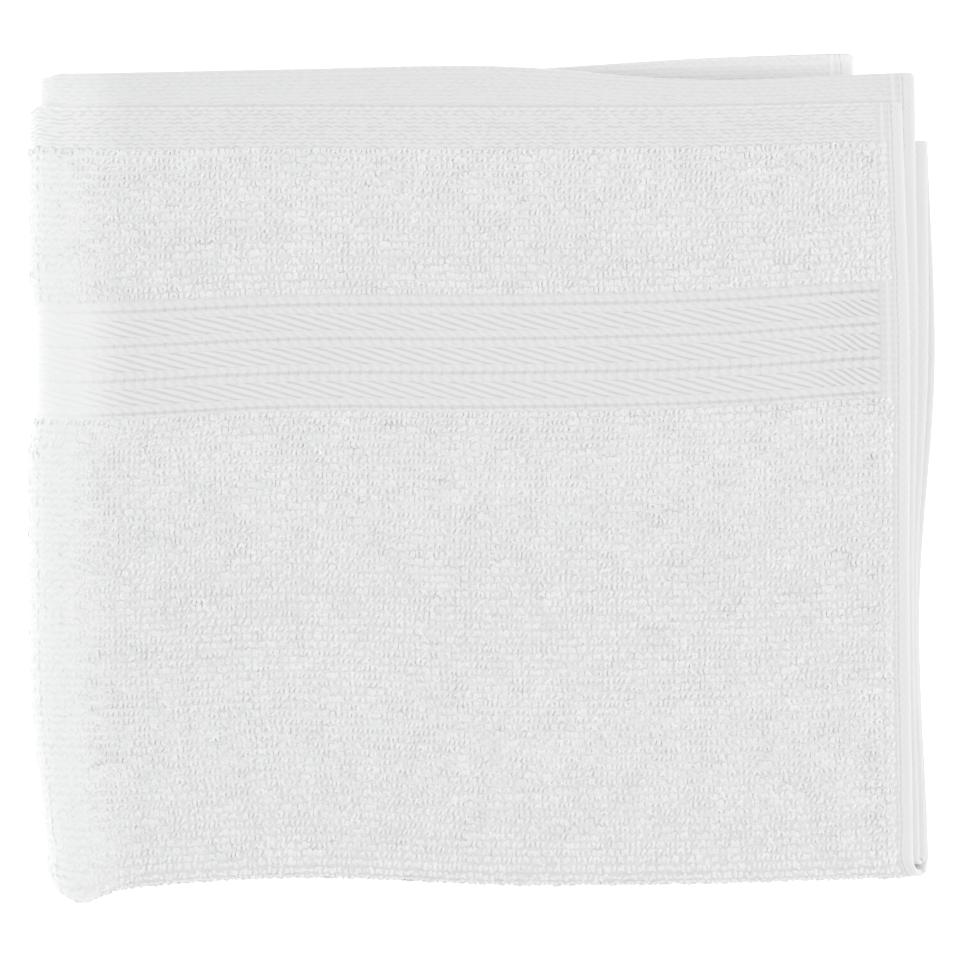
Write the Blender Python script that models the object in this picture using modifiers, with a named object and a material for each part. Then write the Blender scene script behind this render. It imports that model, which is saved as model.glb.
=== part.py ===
"""Folded hand towel: one terry cloth with a hem and a woven border at each end.

The cloth is made flat first, as a grid with a real thickness: thick in the pile, thinner in the hems,
the borders and the selvages. It is then folded the way a hand folds it: in half along its length, in half
along its length again, and last in half across its width, which makes eight layers. Metres, +Z up, and the
origin on the surface under the middle of the folded towel.
"""

import bisect
import math

import bpy
from mathutils import Vector

# The flat cloth
TOWEL_WIDTH = 0.496
TOWEL_LENGTH = 0.896
HEM_DEPTH = 0.0137
SELVAGE_WIDTH = 0.0048
BORDER_FROM_EDGE = 0.0546
BORDER_DEPTH = 0.0357
FIRST_GROOVE_IN_BORDER = 0.0031
GROOVE_PITCH = 0.0099
GROOVE_COUNT = 4
GROOVE_HALF_WIDTH = 0.0008
PILE_STEP = 0.0008

# The cloth's thickness, as shares of the thickness of the pile
PILE_THICKNESS = 0.0028
HEM_SHARE = 0.70
BAND_SHARE = 0.68
GROOVE_SHARE = 0.50
SELVAGE_SHARE = 0.55

# The folds: the pitch of the layers, the gap between the two halves, and where the two ends reach to,
# measured from the line that the second fold turns about
LAYER_PITCH = 0.0033
HALVES_GAP = 0.0004
OUTER_HEM_REACH = 0.2198
INNER_HEM_REACH = 0.2284
FRONT_HALF_EXTRA = 0.0090
# A layer further out has a longer way round the spine, and this share of it shows at the selvages
SPINE_SHIFT_SHARE = 0.60

# The mesh
PILE_ROW_PITCH = 0.0260
CLOSEST_ROWS = 0.0012
TURN_STEPS = 6
SPINE_STEPS = 8
FRONT_STEPS = 6
BACK_STEPS = 5

LAYERS_IN_HALF = 4
HALF_HEIGHT = LAYERS_IN_HALF * LAYER_PITCH
PILE_CLEARANCE = (LAYER_PITCH - PILE_THICKNESS) / 2
INNER_RADIUS = HALVES_GAP / 2
MEAN_RADIUS = INNER_RADIUS + HALF_HEIGHT / 2
SPINE_HEIGHT = INNER_RADIUS + HALF_HEIGHT - PILE_CLEARANCE
SPINE_HALF_ARC = math.pi * MEAN_RADIUS / 2
WIDE_TURN = 1.5 * LAYER_PITCH
TIGHT_TURN = 0.5 * LAYER_PITCH
TURNS_LENGTH = math.pi * (WIDE_TURN + 2 * TIGHT_TURN)
FIRST_FOLD_REACH = (TOWEL_LENGTH - TURNS_LENGTH - OUTER_HEM_REACH - INNER_HEM_REACH) / 2
FOLD_TOP = FIRST_FOLD_REACH + TIGHT_TURN + PILE_THICKNESS / 2

# The way along the cloth, from the outer hem: straights have a length, and turns a radius and a side
ROUTE = (
    {"name": "outer front", "length": OUTER_HEM_REACH},
    {"name": "second fold, outside", "radius": WIDE_TURN, "side": 1},
    {"name": "outer inside", "length": FIRST_FOLD_REACH},
    {"name": "first fold", "radius": TIGHT_TURN, "side": 1},
    {"name": "inner inside", "length": FIRST_FOLD_REACH},
    {"name": "second fold, inside", "radius": TIGHT_TURN, "side": -1},
    {"name": "inner front", "length": INNER_HEM_REACH},
)

# How far each layer strays from a neat rectangle, in millimetres, from the underside up.
# right: its selvage, from the second fold to the hems; top: its upper edge, and bottom: its lower fold,
# both from the spine to the selvage
LAYERS = (
    {"right": (4.0, 3.0, 1.0, 0.0), "top": (0, 0.2, 0.8, 1.8, 2.8), "bottom": (-0.6, 1.2, 0.4, 0.2, 1.0)},
    {"right": (3.0, 2.0, 1.0, 0.0), "top": (0, 0.0, 1.2, 4.6, 5.8), "bottom": (-0.6, 1.2, 0.4, 0.2, 1.0)},
    {"right": (2.0, 0.0, 0.0, -1.0), "top": (0, 0.0, 0.0, -1.0, -2.5), "bottom": (-0.6, 1.2, 0.4, 0.2, 1.0)},
    {"right": (0.0, -1.0, 0.0, 1.0), "top": (0, 0.0, 0.0, -1.0, -2.5), "bottom": (-0.6, 1.2, 0.4, 0.2, 1.0)},
    {"right": (-3.5, -6.0, -1.1, -4.0), "top": (0, 0.0, 0.0, -1.8, -3.8), "bottom": (-1.2, 1.9, -0.2, 0.2, 2.0)},
    {"right": (-0.6, -3.5, 0.0, -0.3), "top": (0, 0.0, 0.0, -1.8, -3.8), "bottom": (-1.2, 1.9, -0.2, 0.2, 2.0)},
    {"right": (0.4, -1.6, 0.0, -0.7), "top": (0, 1.2, 2.2, -1.4, -0.2), "bottom": (-1.2, 1.9, -0.2, 0.2, 2.0)},
    {"right": (1.5, 0.6, 0.6, -1.5), "top": (0, 0.0, -0.4, -0.4, 0.6), "bottom": (-1.2, 1.9, -0.2, 0.2, 2.0)},
)
# The spine from the second fold to the hems, in millimetres, and how far the borders let it in
SPINE_LINE = (7.6, 3.8, 0.6, 0.2, 0.0, -0.4)
SPINE_LET_IN = 1.9
# The outer layer's border runs uphill towards the selvage: its lift from the spine to the selvage
BORDER_LIFT = (-2.4, -0.8, 0.3, 1.6, 3.9)
BORDER_LIFT_REACH = 0.055
# The lower half's corner, which pokes out below the second fold beside the spine
EAR_DROP = 0.0052
EAR_PLACE = 0.004
EAR_WIDTH = 0.016
EAR_REACH = 0.030

# How the stack settles: borders and hems lie thinner, the hems sink past the first fold, and the
# edge along the selvages rounds off
BORDER_SETTLE = 0.80
HEM_SETTLE = 0.92
EMPTY_SETTLE = 0.74
SETTLE_EDGE = 0.005
SELVAGE_SETTLE = 0.90
SELVAGE_SETTLE_WIDTH = 0.016
SWELL = 0.05
SWELL_LENGTH = 0.140
# Where the stack's height changes, measured like the reaches: layers that lie on it have rows there
HEIGHT_CHANGES = tuple(
    place + side * SETTLE_EDGE
    for place in (
        OUTER_HEM_REACH - BORDER_FROM_EDGE - BORDER_DEPTH,
        OUTER_HEM_REACH - BORDER_FROM_EDGE,
        INNER_HEM_REACH - BORDER_FROM_EDGE,
        OUTER_HEM_REACH - HEM_DEPTH,
        FOLD_TOP + SETTLE_EDGE,
    )
    for side in (-1, 1)
)
NOMINAL_WIDTH = TOWEL_WIDTH / 2 + FRONT_HALF_EXTRA - SPINE_HALF_ARC

CLOTH_COLOUR = (0.83, 0.83, 0.82, 1.0)
CLOTH_ROUGHNESS = 0.95


def smoothstep(low, high, value):
    """0 below low, 1 above high, and smooth between them."""
    share = min(1.0, max(0.0, (value - low) / (high - low)))
    return share * share * (3 - 2 * share)


def smooth_through(values, share):
    """A smooth curve through evenly spaced values, read at a share of its length from 0 to 1."""
    place = min(1.0, max(0.0, share)) * (len(values) - 1)
    step = min(int(place), len(values) - 2)
    part = place - step
    before, start = values[max(step - 1, 0)], values[step]
    end, after = values[step + 1], values[min(step + 2, len(values) - 1)]
    bend = (after - before + 3 * (start - end)) * part + 2 * before - 5 * start + 4 * end - after
    return start + part * ((end - before) + part * bend) / 2


def thickness_steps():
    """Where the thickness changes along one end of the cloth: the distance from its edge, and the share."""
    border_end = BORDER_FROM_EDGE + BORDER_DEPTH
    half = PILE_STEP / 2
    steps = [
        (0.0, HEM_SHARE),
        (HEM_DEPTH - half, HEM_SHARE),
        (HEM_DEPTH + half, 1.0),
        (BORDER_FROM_EDGE - half, 1.0),
        (BORDER_FROM_EDGE + half, BAND_SHARE),
    ]
    for groove in range(GROOVE_COUNT):
        middle = BORDER_FROM_EDGE + FIRST_GROOVE_IN_BORDER + groove * GROOVE_PITCH
        steps += [
            (middle - GROOVE_HALF_WIDTH, BAND_SHARE),
            (middle, GROOVE_SHARE),
            (middle + GROOVE_HALF_WIDTH, BAND_SHARE),
        ]
    return steps + [(border_end - half, BAND_SHARE), (border_end + half, 1.0)]


def thickness_share(across, along):
    """The cloth's thickness at a place on the flat cloth, as a share of the pile's."""
    steps = thickness_steps()
    from_edge = min(along, TOWEL_LENGTH - along)
    places = [step[0] for step in steps]
    found = bisect.bisect_right(places, from_edge) - 1
    if found >= len(steps) - 1:
        share = steps[-1][1]
    else:
        (low, first), (high, second) = steps[found], steps[found + 1]
        share = first + (second - first) * (from_edge - low) / (high - low)
    from_selvage = TOWEL_WIDTH / 2 - abs(across)
    bare = 1 - smoothstep(SELVAGE_WIDTH - PILE_STEP, SELVAGE_WIDTH, from_selvage)
    return share + (min(share, SELVAGE_SHARE) - share) * bare


def spread(start, end, pitch):
    """Places from start towards end, without the end, evenly spaced at about the pitch."""
    count = max(1, round(abs(end - start) / pitch))
    return [start + (end - start) * number / count for number in range(count)]


def row_places():
    """Where the rows of the mesh lie along the flat cloth."""
    thickness_rows = [place for place, _ in thickness_steps()]
    stops = thickness_rows + [TOWEL_LENGTH - place for place in thickness_rows]
    other = []
    along = 0.0
    for part in ROUTE:
        length = part.get("length", math.pi * part.get("radius", 0.0))
        steps = TURN_STEPS if "radius" in part else 1
        other += [along + length * number / steps for number in range(steps + 1)]
        along += length
    other += [OUTER_HEM_REACH - change for change in HEIGHT_CHANGES]
    other += [TOWEL_LENGTH - INNER_HEM_REACH + change for change in HEIGHT_CHANGES]
    for place in other:
        if min(abs(place - stop) for stop in stops) > CLOSEST_ROWS:
            stops.append(place)
    stops.sort()
    rows = [place for low, high in zip(stops, stops[1:]) for place in spread(low, high, PILE_ROW_PITCH)]
    return rows + [stops[-1]]


def column_places():
    """Where the columns of the mesh lie across the flat cloth, from the back half's selvage."""
    spine = -FRONT_HALF_EXTRA
    pile_edge = TOWEL_WIDTH / 2 - SELVAGE_WIDTH
    back_flat, front_flat = spine - SPINE_HALF_ARC, spine + SPINE_HALF_ARC
    places = [-TOWEL_WIDTH / 2, -pile_edge - PILE_STEP]
    places += spread(-pile_edge, back_flat, (pile_edge + back_flat) / BACK_STEPS)
    places += spread(back_flat, front_flat, 2 * SPINE_HALF_ARC / SPINE_STEPS)
    places += spread(front_flat, pile_edge, (pile_edge - front_flat) / FRONT_STEPS)
    return places + [pile_edge, pile_edge + PILE_STEP, TOWEL_WIDTH / 2]


def fold_along(along, offset):
    """The first two folds: (distance from the second fold's line, height in the half stack)."""
    place = Vector((OUTER_HEM_REACH, HALF_HEIGHT - LAYER_PITCH / 2))
    heading = Vector((-1.0, 0.0))
    for part in ROUTE:
        length = part.get("length", math.pi * part.get("radius", 0.0))
        last = part is ROUTE[-1]
        outward = Vector((heading.y, -heading.x))
        if along > length and not last:
            along -= length
            if "radius" in part:
                place = place - 2 * part["side"] * part["radius"] * outward
                heading = -heading
            else:
                place = place + heading * length
            continue
        if "length" in part:
            return place + heading * along + outward * offset
        side, radius = part["side"], part["radius"]
        centre = place - side * radius * outward
        turned = math.pi * along / length
        arm = radius + side * offset
        return centre + arm * (side * outward * math.cos(turned) + heading * math.sin(turned))


def fold_across(across, radius):
    """The last fold, about the spine: (distance from the spine's line, height)."""
    from_spine = across + FRONT_HALF_EXTRA
    side = 1 if from_spine > 0 else -1
    if abs(from_spine) <= SPINE_HALF_ARC:
        turned = math.pi / 2 * from_spine / SPINE_HALF_ARC
        return -radius * math.cos(turned), SPINE_HEIGHT + radius * math.sin(turned)
    half_width = TOWEL_WIDTH / 2 + side * FRONT_HALF_EXTRA
    way_round = MEAN_RADIUS + SPINE_SHIFT_SHARE * (radius - MEAN_RADIUS)
    reach = half_width - math.pi / 2 * way_round
    share = (abs(from_spine) - SPINE_HALF_ARC) / (half_width - SPINE_HALF_ARC)
    return share * reach, SPINE_HEIGHT + side * radius


def between_layers(column, height, share):
    """A table's value for a height in the stack, smooth from one layer to the next, in metres."""
    place = min(max(height / LAYER_PITCH - 0.5, 0.0), len(LAYERS) - 1.0)
    low = min(int(place), len(LAYERS) - 2)
    first = smooth_through(LAYERS[low][column], share)
    second = smooth_through(LAYERS[low + 1][column], share)
    return 0.001 * (first + (second - first) * (place - low))


def border_line(x):
    """How much further up the outer layer's border lies at a distance from the spine's line."""
    return 0.001 * smooth_through(BORDER_LIFT, x / NOMINAL_WIDTH)


def stray(x, y, z):
    """How far the real cloth lies from the neat fold at a place: (x, y) shift, level by level."""
    share_x = min(1.0, max(0.0, x / NOMINAL_WIDTH))
    share_y = min(1.0, max(0.0, y / OUTER_HEM_REACH))
    border_middle = OUTER_HEM_REACH - BORDER_FROM_EDGE - BORDER_DEPTH / 2
    outer_layer = smoothstep(6.6 * LAYER_PITCH, 7.2 * LAYER_PITCH, z)
    away = (y - border_middle) / BORDER_LIFT_REACH
    lift = math.exp(-away * away) * outer_layer * border_line(x)
    in_border = math.exp(-(((y - border_middle) / (0.62 * BORDER_DEPTH)) ** 6))
    spine = 0.001 * (smooth_through(SPINE_LINE, share_y) + SPINE_LET_IN * in_border)
    shift_x = spine * (1 - share_x) + between_layers("right", z, share_y) * share_x
    bottom = between_layers("bottom", z, share_x)
    top = between_layers("top", z, share_x)
    lower_half = 1 - smoothstep(0.8 * SPINE_HEIGHT, 1.1 * SPINE_HEIGHT, z)
    beside_spine = math.exp(-(((x - EAR_PLACE) / EAR_WIDTH) ** 2))
    near_fold = 1 - smoothstep(0.0, EAR_REACH, y)
    ear = EAR_DROP * lower_half * beside_spine * near_fold
    return shift_x, bottom + (top - bottom) * share_y + lift - ear


def settle(layer, x, y):
    """How thick a layer lies at a place, as a share of its pitch. The lowest lies flat on the surface."""
    if layer == 0:
        return 1.0
    outer, inner = layer == len(LAYERS) - 1, layer == len(LAYERS) - 2
    share = 1.0
    if outer or inner:
        reach = OUTER_HEM_REACH if outer else INNER_HEM_REACH
        line = reach - BORDER_FROM_EDGE + (border_line(x) if outer else 0.0)
        low_edge = smoothstep(-BORDER_DEPTH - SETTLE_EDGE, -BORDER_DEPTH + SETTLE_EDGE, y - line)
        in_border = low_edge - smoothstep(-SETTLE_EDGE, SETTLE_EDGE, y - line)
        in_hem = smoothstep(-SETTLE_EDGE, SETTLE_EDGE, y - reach + HEM_DEPTH)
        share *= 1 - (1 - BORDER_SETTLE) * in_border - (1 - HEM_SETTLE) * in_hem
    elif layer > 1:
        share *= 1 - (1 - EMPTY_SETTLE) * smoothstep(FOLD_TOP, INNER_HEM_REACH, y)
    edge = NOMINAL_WIDTH - SELVAGE_SETTLE_WIDTH
    share *= 1 - (1 - SELVAGE_SETTLE) * smoothstep(edge, NOMINAL_WIDTH, x)
    turn = 2 * math.pi / SWELL_LENGTH
    return share * (1 + SWELL * math.sin(turn * x + 2.4 * layer) * math.sin(turn * y + 1.7 * layer))


def settled_height(x, y, z):
    """The height once every layer below has settled."""
    layers = range(len(LAYERS))
    return sum(
        settle(layer, x, y) * min(max(z - layer * LAYER_PITCH, 0.0), LAYER_PITCH) for layer in layers
    ) + max(0.0, z - len(LAYERS) * LAYER_PITCH)


def folded(across, along, offset):
    """Where a point of the flat cloth lies once the towel is folded and has settled."""
    y, height = fold_along(along, offset)
    x, z = fold_across(across, INNER_RADIUS + height)
    shift_x, shift_y = stray(x, y, z)
    x, y = x + shift_x, y + shift_y
    return Vector((x, y, settled_height(x, y, z)))


def clear_scene():
    """Removes what the scene holds."""
    for old in list(bpy.data.objects):
        bpy.data.objects.remove(old, do_unlink=True)


def cotton():
    """White cotton."""
    material = bpy.data.materials.new("cotton")
    material.use_nodes = True
    shader = material.node_tree.nodes["Principled BSDF"]
    shader.inputs["Base Color"].default_value = CLOTH_COLOUR
    shader.inputs["Roughness"].default_value = CLOTH_ROUGHNESS
    shader.inputs["Metallic"].default_value = 0.0
    return material


def flat_cloth(collection):
    """The cloth laid flat: a grid whose thickness follows the pile, the hems, the borders and the selvages."""
    columns, rows = column_places(), row_places()
    bpy.ops.mesh.primitive_grid_add(x_subdivisions=len(columns) - 1, y_subdivisions=len(rows) - 1, size=2)
    cloth = bpy.context.object
    cloth.name = "towel_flat"
    for home in list(cloth.users_collection):
        home.objects.unlink(cloth)
    collection.objects.link(cloth)
    group = cloth.vertex_groups.new(name="thickness")
    for vertex in cloth.data.vertices:
        column = round((vertex.co.x + 1) / 2 * (len(columns) - 1))
        row = round((vertex.co.y + 1) / 2 * (len(rows) - 1))
        vertex.co = (columns[column], rows[row], 0.0)
        group.add([vertex.index], thickness_share(columns[column], rows[row]), "REPLACE")
    solidify = cloth.modifiers.new("thickness", "SOLIDIFY")
    solidify.thickness = PILE_THICKNESS
    solidify.offset = 0.0
    solidify.vertex_group = group.name
    return cloth


def folded_towel(flat, collection):
    """The flat cloth, folded and laid with its middle over the origin."""
    graph = bpy.context.evaluated_depsgraph_get()
    mesh = bpy.data.meshes.new_from_object(flat.evaluated_get(graph))
    mesh.name = "towel"
    points = [folded(*vertex.co) for vertex in mesh.vertices]
    low = Vector(min(point[axis] for point in points) for axis in range(3))
    high = Vector(max(point[axis] for point in points) for axis in range(3))
    middle = Vector(((low.x + high.x) / 2, (low.y + high.y) / 2, low.z))
    for vertex, point in zip(mesh.vertices, points):
        vertex.co = point - middle
    # The folds take the cloth's right side to its left, so its faces are turned out again
    mesh.flip_normals()
    towel = bpy.data.objects.new("towel", mesh)
    collection.objects.link(towel)
    mesh.materials.clear()
    mesh.materials.append(cotton())
    return towel


def main():
    clear_scene()
    parts = bpy.data.collections.new("hand_towel")
    helpers = bpy.data.collections.new("helpers")
    for collection in (parts, helpers):
        bpy.context.scene.collection.children.link(collection)
    flat = flat_cloth(helpers)
    bpy.context.view_layer.update()
    folded_towel(flat, parts)
    flat.hide_render = True
    flat.display_type = "WIRE"


main()
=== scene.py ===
"""A white terry hand towel, folded in eight layers and laid flat on a white table."""

import math

import bpy
import numpy as np
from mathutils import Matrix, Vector


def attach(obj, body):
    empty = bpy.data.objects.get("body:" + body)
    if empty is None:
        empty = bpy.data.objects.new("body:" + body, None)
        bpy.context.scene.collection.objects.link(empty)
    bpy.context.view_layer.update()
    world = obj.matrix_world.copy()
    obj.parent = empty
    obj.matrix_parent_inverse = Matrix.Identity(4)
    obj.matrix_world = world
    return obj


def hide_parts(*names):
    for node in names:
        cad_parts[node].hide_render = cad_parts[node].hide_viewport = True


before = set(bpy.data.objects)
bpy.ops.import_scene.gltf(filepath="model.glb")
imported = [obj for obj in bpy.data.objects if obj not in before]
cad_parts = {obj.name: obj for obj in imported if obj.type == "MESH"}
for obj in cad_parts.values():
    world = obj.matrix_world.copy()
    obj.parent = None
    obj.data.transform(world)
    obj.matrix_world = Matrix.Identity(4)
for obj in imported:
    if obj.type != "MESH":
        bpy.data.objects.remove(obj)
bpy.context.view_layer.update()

bl_info = {
    "name": "Folded hand towel",
    "version": (1, 0, 0),
    "blender": (4, 5, 0),
    "location": "3D View > Sidebar > Towel",
    "description": "Makes a folded terry hand towel: the cloth, the loops of its pile, and its table and light",
    "category": "Object",
}

MM = 0.001
# The colour of the painted shade between the threads of the flat weaves
PAINTED_SHADE_BETWEEN_THREADS = (0.10, 0.08, 0.0, 1.0)

# The flat cloth, in metres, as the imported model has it
TOWEL_WIDTH = 0.496
TOWEL_LENGTH = 0.896
HEM_DEPTH = 0.0137
SELVAGE_WIDTH = 0.0082
PILE_FROM_SELVAGE = 0.0057
BAND_END_FROM_SELVAGE = 0.0087
BORDER_FROM_EDGE = 0.0546
BORDER_DEPTH = 0.0357
BORDER_END = BORDER_FROM_EDGE + BORDER_DEPTH
FIRST_GROOVE_IN_BORDER = 0.0031
GROOVE_PITCH = 0.0099
GROOVE_COUNT = 4
PILE_STEP = 0.0008

# Half the cloth's thickness in each zone, in millimetres. Where the loops stand on it, it is the ground alone.
# The faces that lie on another layer are a little fuller, as the layers press together
PILE_HEIGHT = 1.40
GROUND_HEIGHT = 1.00
PRESSED_GROUND_HEIGHT = 0.95
SPINE_GROUND_HEIGHT = 1.44
HEM_HEIGHT = 0.95
LYING_HEM_HEIGHT = 1.00
BAND_HEIGHT = 0.98
GROOVE_HEIGHT = 0.78

# How far the loops' feet are sunk in the ground, in millimetres: standing freely, and where they lie calm
LOOPS_SUNK = 0.14
CALM_LOOPS_SUNK = 0.34
# The lowest place of a loop over the table, in metres
LOOPS_OVER_TABLE = 0.00004
# The radius of the cloth's four corners, in metres
CORNER_RADIUS = 0.0017

# How much darker the ground between the loops is painted, as painted shade, and how much lighter the flat weaves
# are painted on the last fold and in the half below it, as painted light; both as shares
SHADE_UNDER_LOOPS = 0.105
PAINTED_LIGHT_AT_SPINE = 0.09

# The border's slanted threads lie closer before the selvage, and their painted shade is darker there: where that
# starts and is full, in metres before the band's end, and by which shares
TIGHT_START = 0.026
TIGHT_FULL = 0.004
TIGHTER = 0.7
TIGHT_DARKER = 0.3

# A cut through the selvage: distance from the edge and half the thickness there, in millimetres.
# From the edge it is a rounded rim, a flat band of chain stitches, and two cords with a sunken strip between
SELVAGE_CUT = (
    {"from_edge": 0.0, "height": 0.25},
    {"from_edge": 0.15, "height": 0.62},
    {"from_edge": 0.45, "height": 0.90},
    {"from_edge": 0.9, "height": 1.04},
    {"from_edge": 1.4, "height": 1.02},
    {"from_edge": 1.7, "height": 0.96},
    {"from_edge": 3.2, "height": 0.96},
    {"from_edge": 3.5, "height": 0.92},
    {"from_edge": 3.7, "height": 1.12},
    {"from_edge": 4.1, "height": 1.12},
    {"from_edge": 4.35, "height": 0.97},
    {"from_edge": 5.8, "height": 0.97},
    {"from_edge": 6.1, "height": 1.08},
    {"from_edge": 6.6, "height": 1.08},
    {"from_edge": 6.9, "height": 1.00},
    {"from_edge": 8.2, "height": 1.00},
)

# How far the edges of the cloth bend down onto the layer below, in millimetres, and from how far in, in metres
END_DROOP = 0.55
END_DROOP_REACH = 0.0030
SELVAGE_DROOP = 0.45
SELVAGE_DROOP_REACH = 0.0060
# How much further down the lower faces of the hems and selvages reach, to lie on the layer below
LYING_EXTRA = 0.85
LYING_EXTRA_EDGE = 0.0030
LOWEST = 0.00005

# The folds, in metres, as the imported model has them
LAYER_PITCH = 0.0033
HALVES_GAP = 0.0004
OUTER_HEM_REACH = 0.2198
INNER_HEM_REACH = 0.2284
FRONT_HALF_EXTRA = 0.0090
SPINE_SHIFT_SHARE = 0.60
FULL_PILE_THICKNESS = 0.0028

LAYERS_IN_HALF = 4
HALF_HEIGHT = LAYERS_IN_HALF * LAYER_PITCH
PILE_CLEARANCE = (LAYER_PITCH - FULL_PILE_THICKNESS) / 2
INNER_RADIUS = HALVES_GAP / 2
MEAN_RADIUS = INNER_RADIUS + HALF_HEIGHT / 2
SPINE_HEIGHT = INNER_RADIUS + HALF_HEIGHT - PILE_CLEARANCE
SPINE_HALF_ARC = math.pi * MEAN_RADIUS / 2
WIDE_TURN = 1.5 * LAYER_PITCH
TIGHT_TURN = 0.5 * LAYER_PITCH
TURNS_LENGTH = math.pi * (WIDE_TURN + 2 * TIGHT_TURN)
FIRST_FOLD_REACH = (TOWEL_LENGTH - TURNS_LENGTH - OUTER_HEM_REACH - INNER_HEM_REACH) / 2
FOLD_TOP = FIRST_FOLD_REACH + TIGHT_TURN + FULL_PILE_THICKNESS / 2
NOMINAL_WIDTH = TOWEL_WIDTH / 2 + FRONT_HALF_EXTRA - SPINE_HALF_ARC
SPINE = -FRONT_HALF_EXTRA
# How far from the spine's middle the painted light of the fold has faded and the painted shade under the loops
# is full
SPINE_FADE = 2.6 * SPINE_HALF_ARC
PILE_EDGE = TOWEL_WIDTH / 2 - PILE_FROM_SELVAGE
LOOPS_END = OUTER_HEM_REACH + math.pi * WIDE_TURN
# Where the middle of the folded towel lies, measured from the lines that the folds turn about
MIDDLE = (0.11868007, 0.11060127)

# The way along the cloth, from the outer hem: straights have a length, and turns a radius and a side
ROUTE = (
    {"length": OUTER_HEM_REACH},  # outer front
    {"radius": WIDE_TURN, "side": 1},  # second fold, outside
    {"length": FIRST_FOLD_REACH},  # outer inside
    {"radius": TIGHT_TURN, "side": 1},  # first fold
    {"length": FIRST_FOLD_REACH},  # inner inside
    {"radius": TIGHT_TURN, "side": -1},  # second fold, inside
    {"length": INNER_HEM_REACH},  # inner front
)

# How far each layer strays from a neat rectangle, in millimetres, from the underside up.
# right: its selvage, from the second fold to the hems; top: its upper edge, and bottom: its lower fold,
# both from the spine to the selvage
LAYERS = (
    {"right": (4.0, 3.0, 1.0, 0.0), "top": (0, 0.2, 0.8, 1.8, 2.8), "bottom": (1.2, 3.7, 1.7, 2.1, 3.7)},
    {"right": (3.0, 2.0, 1.0, 0.0), "top": (0, 0.6, 2.4, 6.2, 8.0), "bottom": (1.2, 3.7, 1.7, 2.1, 3.7)},
    {"right": (2.0, 0.0, 0.0, -1.0), "top": (0, 0.0, 0.0, -1.0, -2.5), "bottom": (1.2, 3.7, 1.7, 2.1, 3.7)},
    {"right": (0.0, -1.0, 0.0, 1.0), "top": (0, 0.0, 0.0, -1.0, -2.5), "bottom": (1.2, 3.7, 1.7, 2.1, 3.7)},
    {"right": (-3.5, -6.0, -1.1, -4.0), "top": (0, 0.0, 0.0, -1.8, -3.8), "bottom": (-1.2, 1.9, -0.2, 0.2, 2.0)},
    {"right": (-0.6, -3.5, 0.0, -0.3), "top": (0, 0.0, 0.0, -1.8, -3.8), "bottom": (-1.2, 1.9, -0.2, 0.2, 2.0)},
    {"right": (0.4, -1.6, 0.0, -0.7), "top": (1.2, 2.4, 3.4, -0.9, 1.5), "bottom": (-1.2, 1.9, -0.2, 0.2, 2.0)},
    {"right": (1.5, 0.6, 0.6, -1.5), "top": (0, 0.0, -0.4, -0.4, 0.6), "bottom": (-1.2, 1.9, -0.2, 0.2, 2.0)},
)
SPINE_LINE = (4.9, 0.4, -0.7, -0.9, -0.8, -0.9)
SPINE_LET_IN = 1.9
BORDER_LIFT = (-2.4, -0.8, 0.3, 1.6, 3.9)
BORDER_LIFT_REACH = 0.055
EAR_PLACE = -0.003
EAR_DROP_ABOVE = 0.0036
EAR_WIDTH_ABOVE = 0.0090
EAR_DROP_BELOW = 0.0072
EAR_WIDTH_BELOW = 0.0075
EAR_REACH = 0.030

BORDER_SETTLE = 0.80
HEM_SETTLE = 0.92
EMPTY_SETTLE = 0.74
SETTLE_EDGE = 0.005
SELVAGE_SETTLE = 0.90
SELVAGE_SETTLE_WIDTH = 0.016
SWELL = 0.05
SWELL_LENGTH = 0.140

# Soft troughs in the upper layers: the place of the middle and the half lengths along and across, in metres
# from the towel's middle, the direction in degrees, and the depth in millimetres
CREASES = (
    {"x": -0.1015, "y": -0.1140, "long": 0.0050, "wide": 0.0014, "turn": 84, "depth": 0.6},
    {"x": -0.0560, "y": -0.1135, "long": 0.0045, "wide": 0.0013, "turn": 96, "depth": 0.5},
    {"x": 0.1080, "y": -0.0900, "long": 0.0090, "wide": 0.0050, "turn": 60, "depth": 0.7},
    {"x": 0.0880, "y": 0.0820, "long": 0.0160, "wide": 0.0030, "turn": 35, "depth": 0.6},
    {"x": 0.0300, "y": -0.0400, "long": 0.0300, "wide": 0.0120, "turn": 12, "depth": 0.5},
    {"x": -0.0700, "y": -0.0600, "long": 0.0260, "wide": 0.0110, "turn": 70, "depth": 0.5},
)

# Small puckers of the uppermost layer's pile, as waves that add up: length in metres, direction and phase in
# degrees. Each is as deep as PUCKER_DEPTH, in millimetres, and fades over PUCKER_FADE beside the flat weaves
PUCKER_DEPTH = 0.06
PUCKER_FADE = 0.004
PUCKERS = (
    {"long": 0.0173, "turn": 12, "phase": 20},
    {"long": 0.0163, "turn": 73, "phase": 110},
    {"long": 0.0229, "turn": 131, "phase": 180},
    {"long": 0.0147, "turn": 158, "phase": 300},
    {"long": 0.0191, "turn": 41, "phase": 75},
)

# The fields of the pile: where each lies on the flat cloth, in metres, and the yarn's sides there
PILE_FIELDS = (
    {"name": "pile_upper_front", "across": (SPINE, PILE_EDGE), "along": (HEM_DEPTH, BORDER_FROM_EDGE)},
    {"name": "pile_spine_side", "across": (SPINE, 0.055), "along": (BORDER_END, LOOPS_END)},
    {"name": "pile_middle", "across": (0.055, 0.115), "along": (BORDER_END, LOOPS_END)},
    {"name": "pile_inner_right", "across": (0.115, 0.179), "along": (BORDER_END, LOOPS_END)},
    {"name": "pile_selvage_side", "across": (0.179, PILE_EDGE), "along": (BORDER_END, LOOPS_END)},
    {"name": "pile_upper_back", "across": (-PILE_EDGE, SPINE), "along": (HEM_DEPTH, BORDER_FROM_EDGE)},
    {"name": "pile_back_selvage", "across": (-PILE_EDGE, -0.126), "along": (BORDER_END, LOOPS_END)},
    {"name": "pile_back_spine", "across": (-0.126, SPINE), "along": (BORDER_END, LOOPS_END)},
)
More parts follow.
